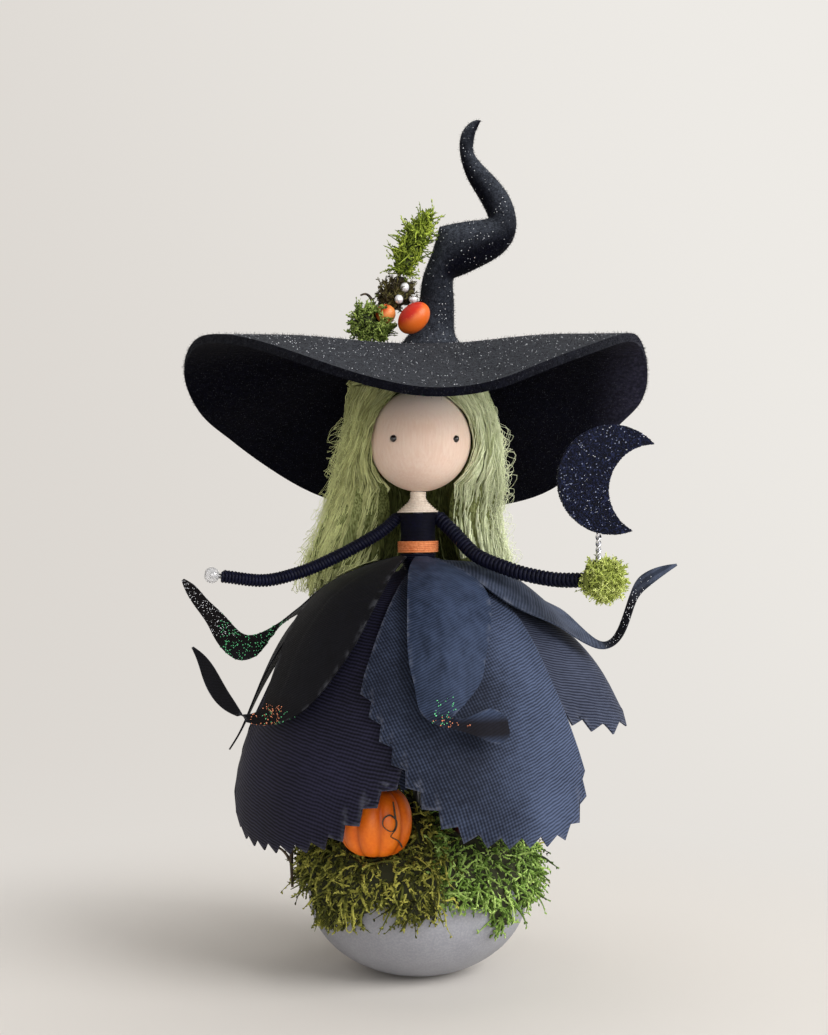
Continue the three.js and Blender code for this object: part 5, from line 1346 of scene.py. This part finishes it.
# part of the name, number of stems, finish, slot, bed, form
for name, count, finish, slot, bed, form in (
    ("low", 340, low_moss, "moss", low_shade_bed,
     dict(keep=beside_berry, reach=1.7, stem=0.24, leaves=9, leaf_reach=0.7, sink=1.3, hollow=left_berry)),
    ("dark", 260, dark_moss, "moss", brown_shade_bed,
     dict(reach=1.6, stem=0.2, leaves=8, leaf_reach=0.8, sink=1.4)),
    ("tall", 340, tall_moss, "moss_bright", green_shade_bed,
     dict(reach=2.1, stem=0.26, leaves=9, leaf_reach=0.8, droop=-0.5, curl=1.1, sink=1.2)),
):
    tuft_on("hat_moss_" + name + "_tuft", "hat_moss_" + name, count, finish, slot, bed, **form)

# %% [markdown]
# ## Pumpkin, berries, twigs
# The pumpkin is a small moulded one, painted orange, with a dry stalk and a thin curly
# tendril. Its solid holds the ribs, so it is made finer and the grooves are only pressed in a
# little. Berries are glossy with a red blush, and twigs are thin, dark and knotty.
# The grooves are also painted darker, as painted shade.

# %% Fruit and wood
def pumpkin_finish():
    finish = Finish("painted_pumpkin", Specular_IOR_Level=0.35)
    cloud = finish.noise(5, 3, (1, 1, 2.2))
    fleck = finish.noise(0.7, 3)
    tone = cloud * 0.75 + fleck * 0.25
    shade = finish.tint(tone.rise(0.3, 0.72), (226, 96, 10), (248, 130, 26))
    # painted shade: the grooves are painted darker
    finish.colour(finish.stored("groove") * 0.55, shade, (150, 50, 8))
    finish.drive("Roughness", 0.32 + fleck * 0.2)
    return finish.relief(cloud + fleck * 0.3, 0.3, 0.2)


def grooved_pumpkin(grooves=9):
    """The solid made finer, with its grooves pressed a little deeper and marked for painted shade."""
    fruit_mesh = refined("pumpkin", 2, 75)
    place = points_of(fruit_mesh)
    away = place - middle_of("pumpkin")
    turn = np.arctan2(away[:, 1], away[:, 0])
    groove = (1 - np.abs(np.sin(grooves / 2 * turn))) ** 3
    reach = np.hypot(away[:, 0], away[:, 1])
    press = 0.55 * groove * smooth(1.5, 6, reach)
    move_points(fruit_mesh, place - unit(away * [1, 1, 0]) * press[:, None])
    store(fruit_mesh, groove=groove * smooth(1, 4, reach))
    return fruit_mesh


show("moulded_pumpkin", grooved_pumpkin(), pumpkin_finish(), "pumpkin", "pumpkin")


def berry_finish(name, blush, body_tint, pale):
    finish = Finish(name, Roughness=0.45, Coat_Weight=0.08, Specular_IOR_Level=0.35)
    cloud = finish.noise(2.6, 2, offset=2.0)
    speck = finish.noise(0.25, 2)
    sunny = finish.stored("sunny") * 1.3 + (cloud - 0.5) * 0.7
    warm = finish.tint(sunny.rise(0.2, 0.85), body_tint, blush)
    finish.colour(speck.rise(0.62, 0.75) * 0.4, warm, pale)
    return finish.relief(speck, 0.15, 0.03)


berry = berry_finish("orange_berry", (190, 30, 6), (218, 100, 28), (230, 144, 80))
pale_berry = berry_finish("pale_berry", (206, 78, 24), (226, 136, 70), (238, 176, 124))
dark_fruit = berry_finish("dark_berry_skin", (70, 18, 14), (112, 40, 30), (140, 70, 50))


def ripened(node):
    """The berry made finer, with how far each point faces the side that ripened red."""
    mesh = refined(node, 2, 80)
    away = unit(points_of(mesh) - middle_of(node))
    store(mesh, sunny=away @ unit(np.array([-0.6, -0.4, 0.7])))
    return mesh


show("berry_right", ripened("hat_berry_right"), berry, "berry", "hat_berry_right")
show("berry_left", ripened("hat_berry_left"), pale_berry, "berry", "hat_berry_left")
show("berry_in_moss", ripened("dark_berry"), dark_fruit, "dark_berry", "dark_berry")
silver_bead = Finish("silver_bead_skin", Roughness=0.28, Metallic=0.3, Base_Color=(236, 236, 238)).grained()
for number in "123":
    node = "hat_bead_" + number
    show("silver_bead_" + number, refined(node, 2, 80), silver_bead, "silver_bead", node)


def twig_finish():
    finish = Finish("dry_twig", Roughness=0.85)
    bark = finish.noise(0.6, 4, (1, 1, 4))
    finish.colour(bark.rise(0.35, 0.7), (40, 30, 22), (104, 88, 70))
    return finish.relief(bark, 0.6, 0.15)


dry_twig = twig_finish()
for name, node in (("stalk", "pumpkin_stalk"), ("twig", "base_twig"), ("hat_twig", "hat_twig")):
    show(name + "_wood", refined(node, 2, 75), dry_twig, "twig", node)

# The tendril's line as x and z in millimetres; it lies on the pumpkin's front face
tendril_face = [
    (-5.7, 45.8), (-5.25, 43.1), (-5, 40.8), (-5.7, 39.5), (-6.8, 39.7), (-8, 41), (-7.7, 42.4),
    (-6.4, 43.1), (-5, 41.9), (-5, 40.1), (-6.2, 38.3), (-5.7, 37.9), (-4.4, 36.8), (-3.7, 35.2),
    (-1.9, 34.5),
]
fruit = surface_of(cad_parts["pumpkin"].data)
tendril_line = []
for x, z in tendril_face:
    spot = fruit.ray_cast(Vector((x * mm, -60 * mm, z * mm)), Vector((0, 1, 0)))[0]
    if spot:
        tendril_line.append([x, spot.y / mm - 0.25, z])
tendril_line = curve_through(tendril_line, 70)
thick = 0.16 + 0.05 * np.sin(np.linspace(0, 14, 70))
show("tendril_wood", tubes(tendril_line[None], thick, 8), dry_twig, "twig", "pumpkin_tendril")

# %% [markdown]
# ## Moon
# The moon is cut from black foam sheet whose whole face is glitter. Its base is near black,
# and the grains on it are dense, dark and only now and then bright. So the sheet gets rough
# grain from cells, then three kinds of real flakes: many dark, some grey and a few bright.

# %% Crescent
def glitter_sheet_finish():
    finish = Finish("glitter_sheet", Specular_IOR_Level=0.08)
    cells = {"Vector": finish.place(), "Scale": 3600.0}
    grain = finish.node("ShaderNodeTexVoronoi", {"feature": "F1"}, cells, output="Color")
    parts = finish.node("ShaderNodeSeparateColor", {}, {0: grain}, output="Red")
    finish.colour(parts.rise(0.5, 1.0), (3, 5, 17), (36, 42, 70))
    finish.drive("Roughness", 0.3 + parts * 0.4)
    return finish.relief(parts, 0.9, 0.2)


moon = refined("moon", 1, 40)
show("crescent", moon, glitter_sheet_finish(), "glitter_foam", "moon", body="wand")
dark_glitter = glitter("dark", (17, 21, 46), 0.5, 0.0, 0.15)
grey_glitter = glitter("grey", (142, 150, 178), 0.35, 0.2)
for name, count, size, finish, tilt in (
    ("grain", 3600, 0.34, dark_glitter, 0.6),
    ("grey", 420, 0.32, grey_glitter, 0.6),
    ("sparkle", 90, 0.24, silver_glitter, 0.7),
):
    dust("crescent_" + name, moon, count, size, finish, "glitter_foam", None, "wand", tilt)
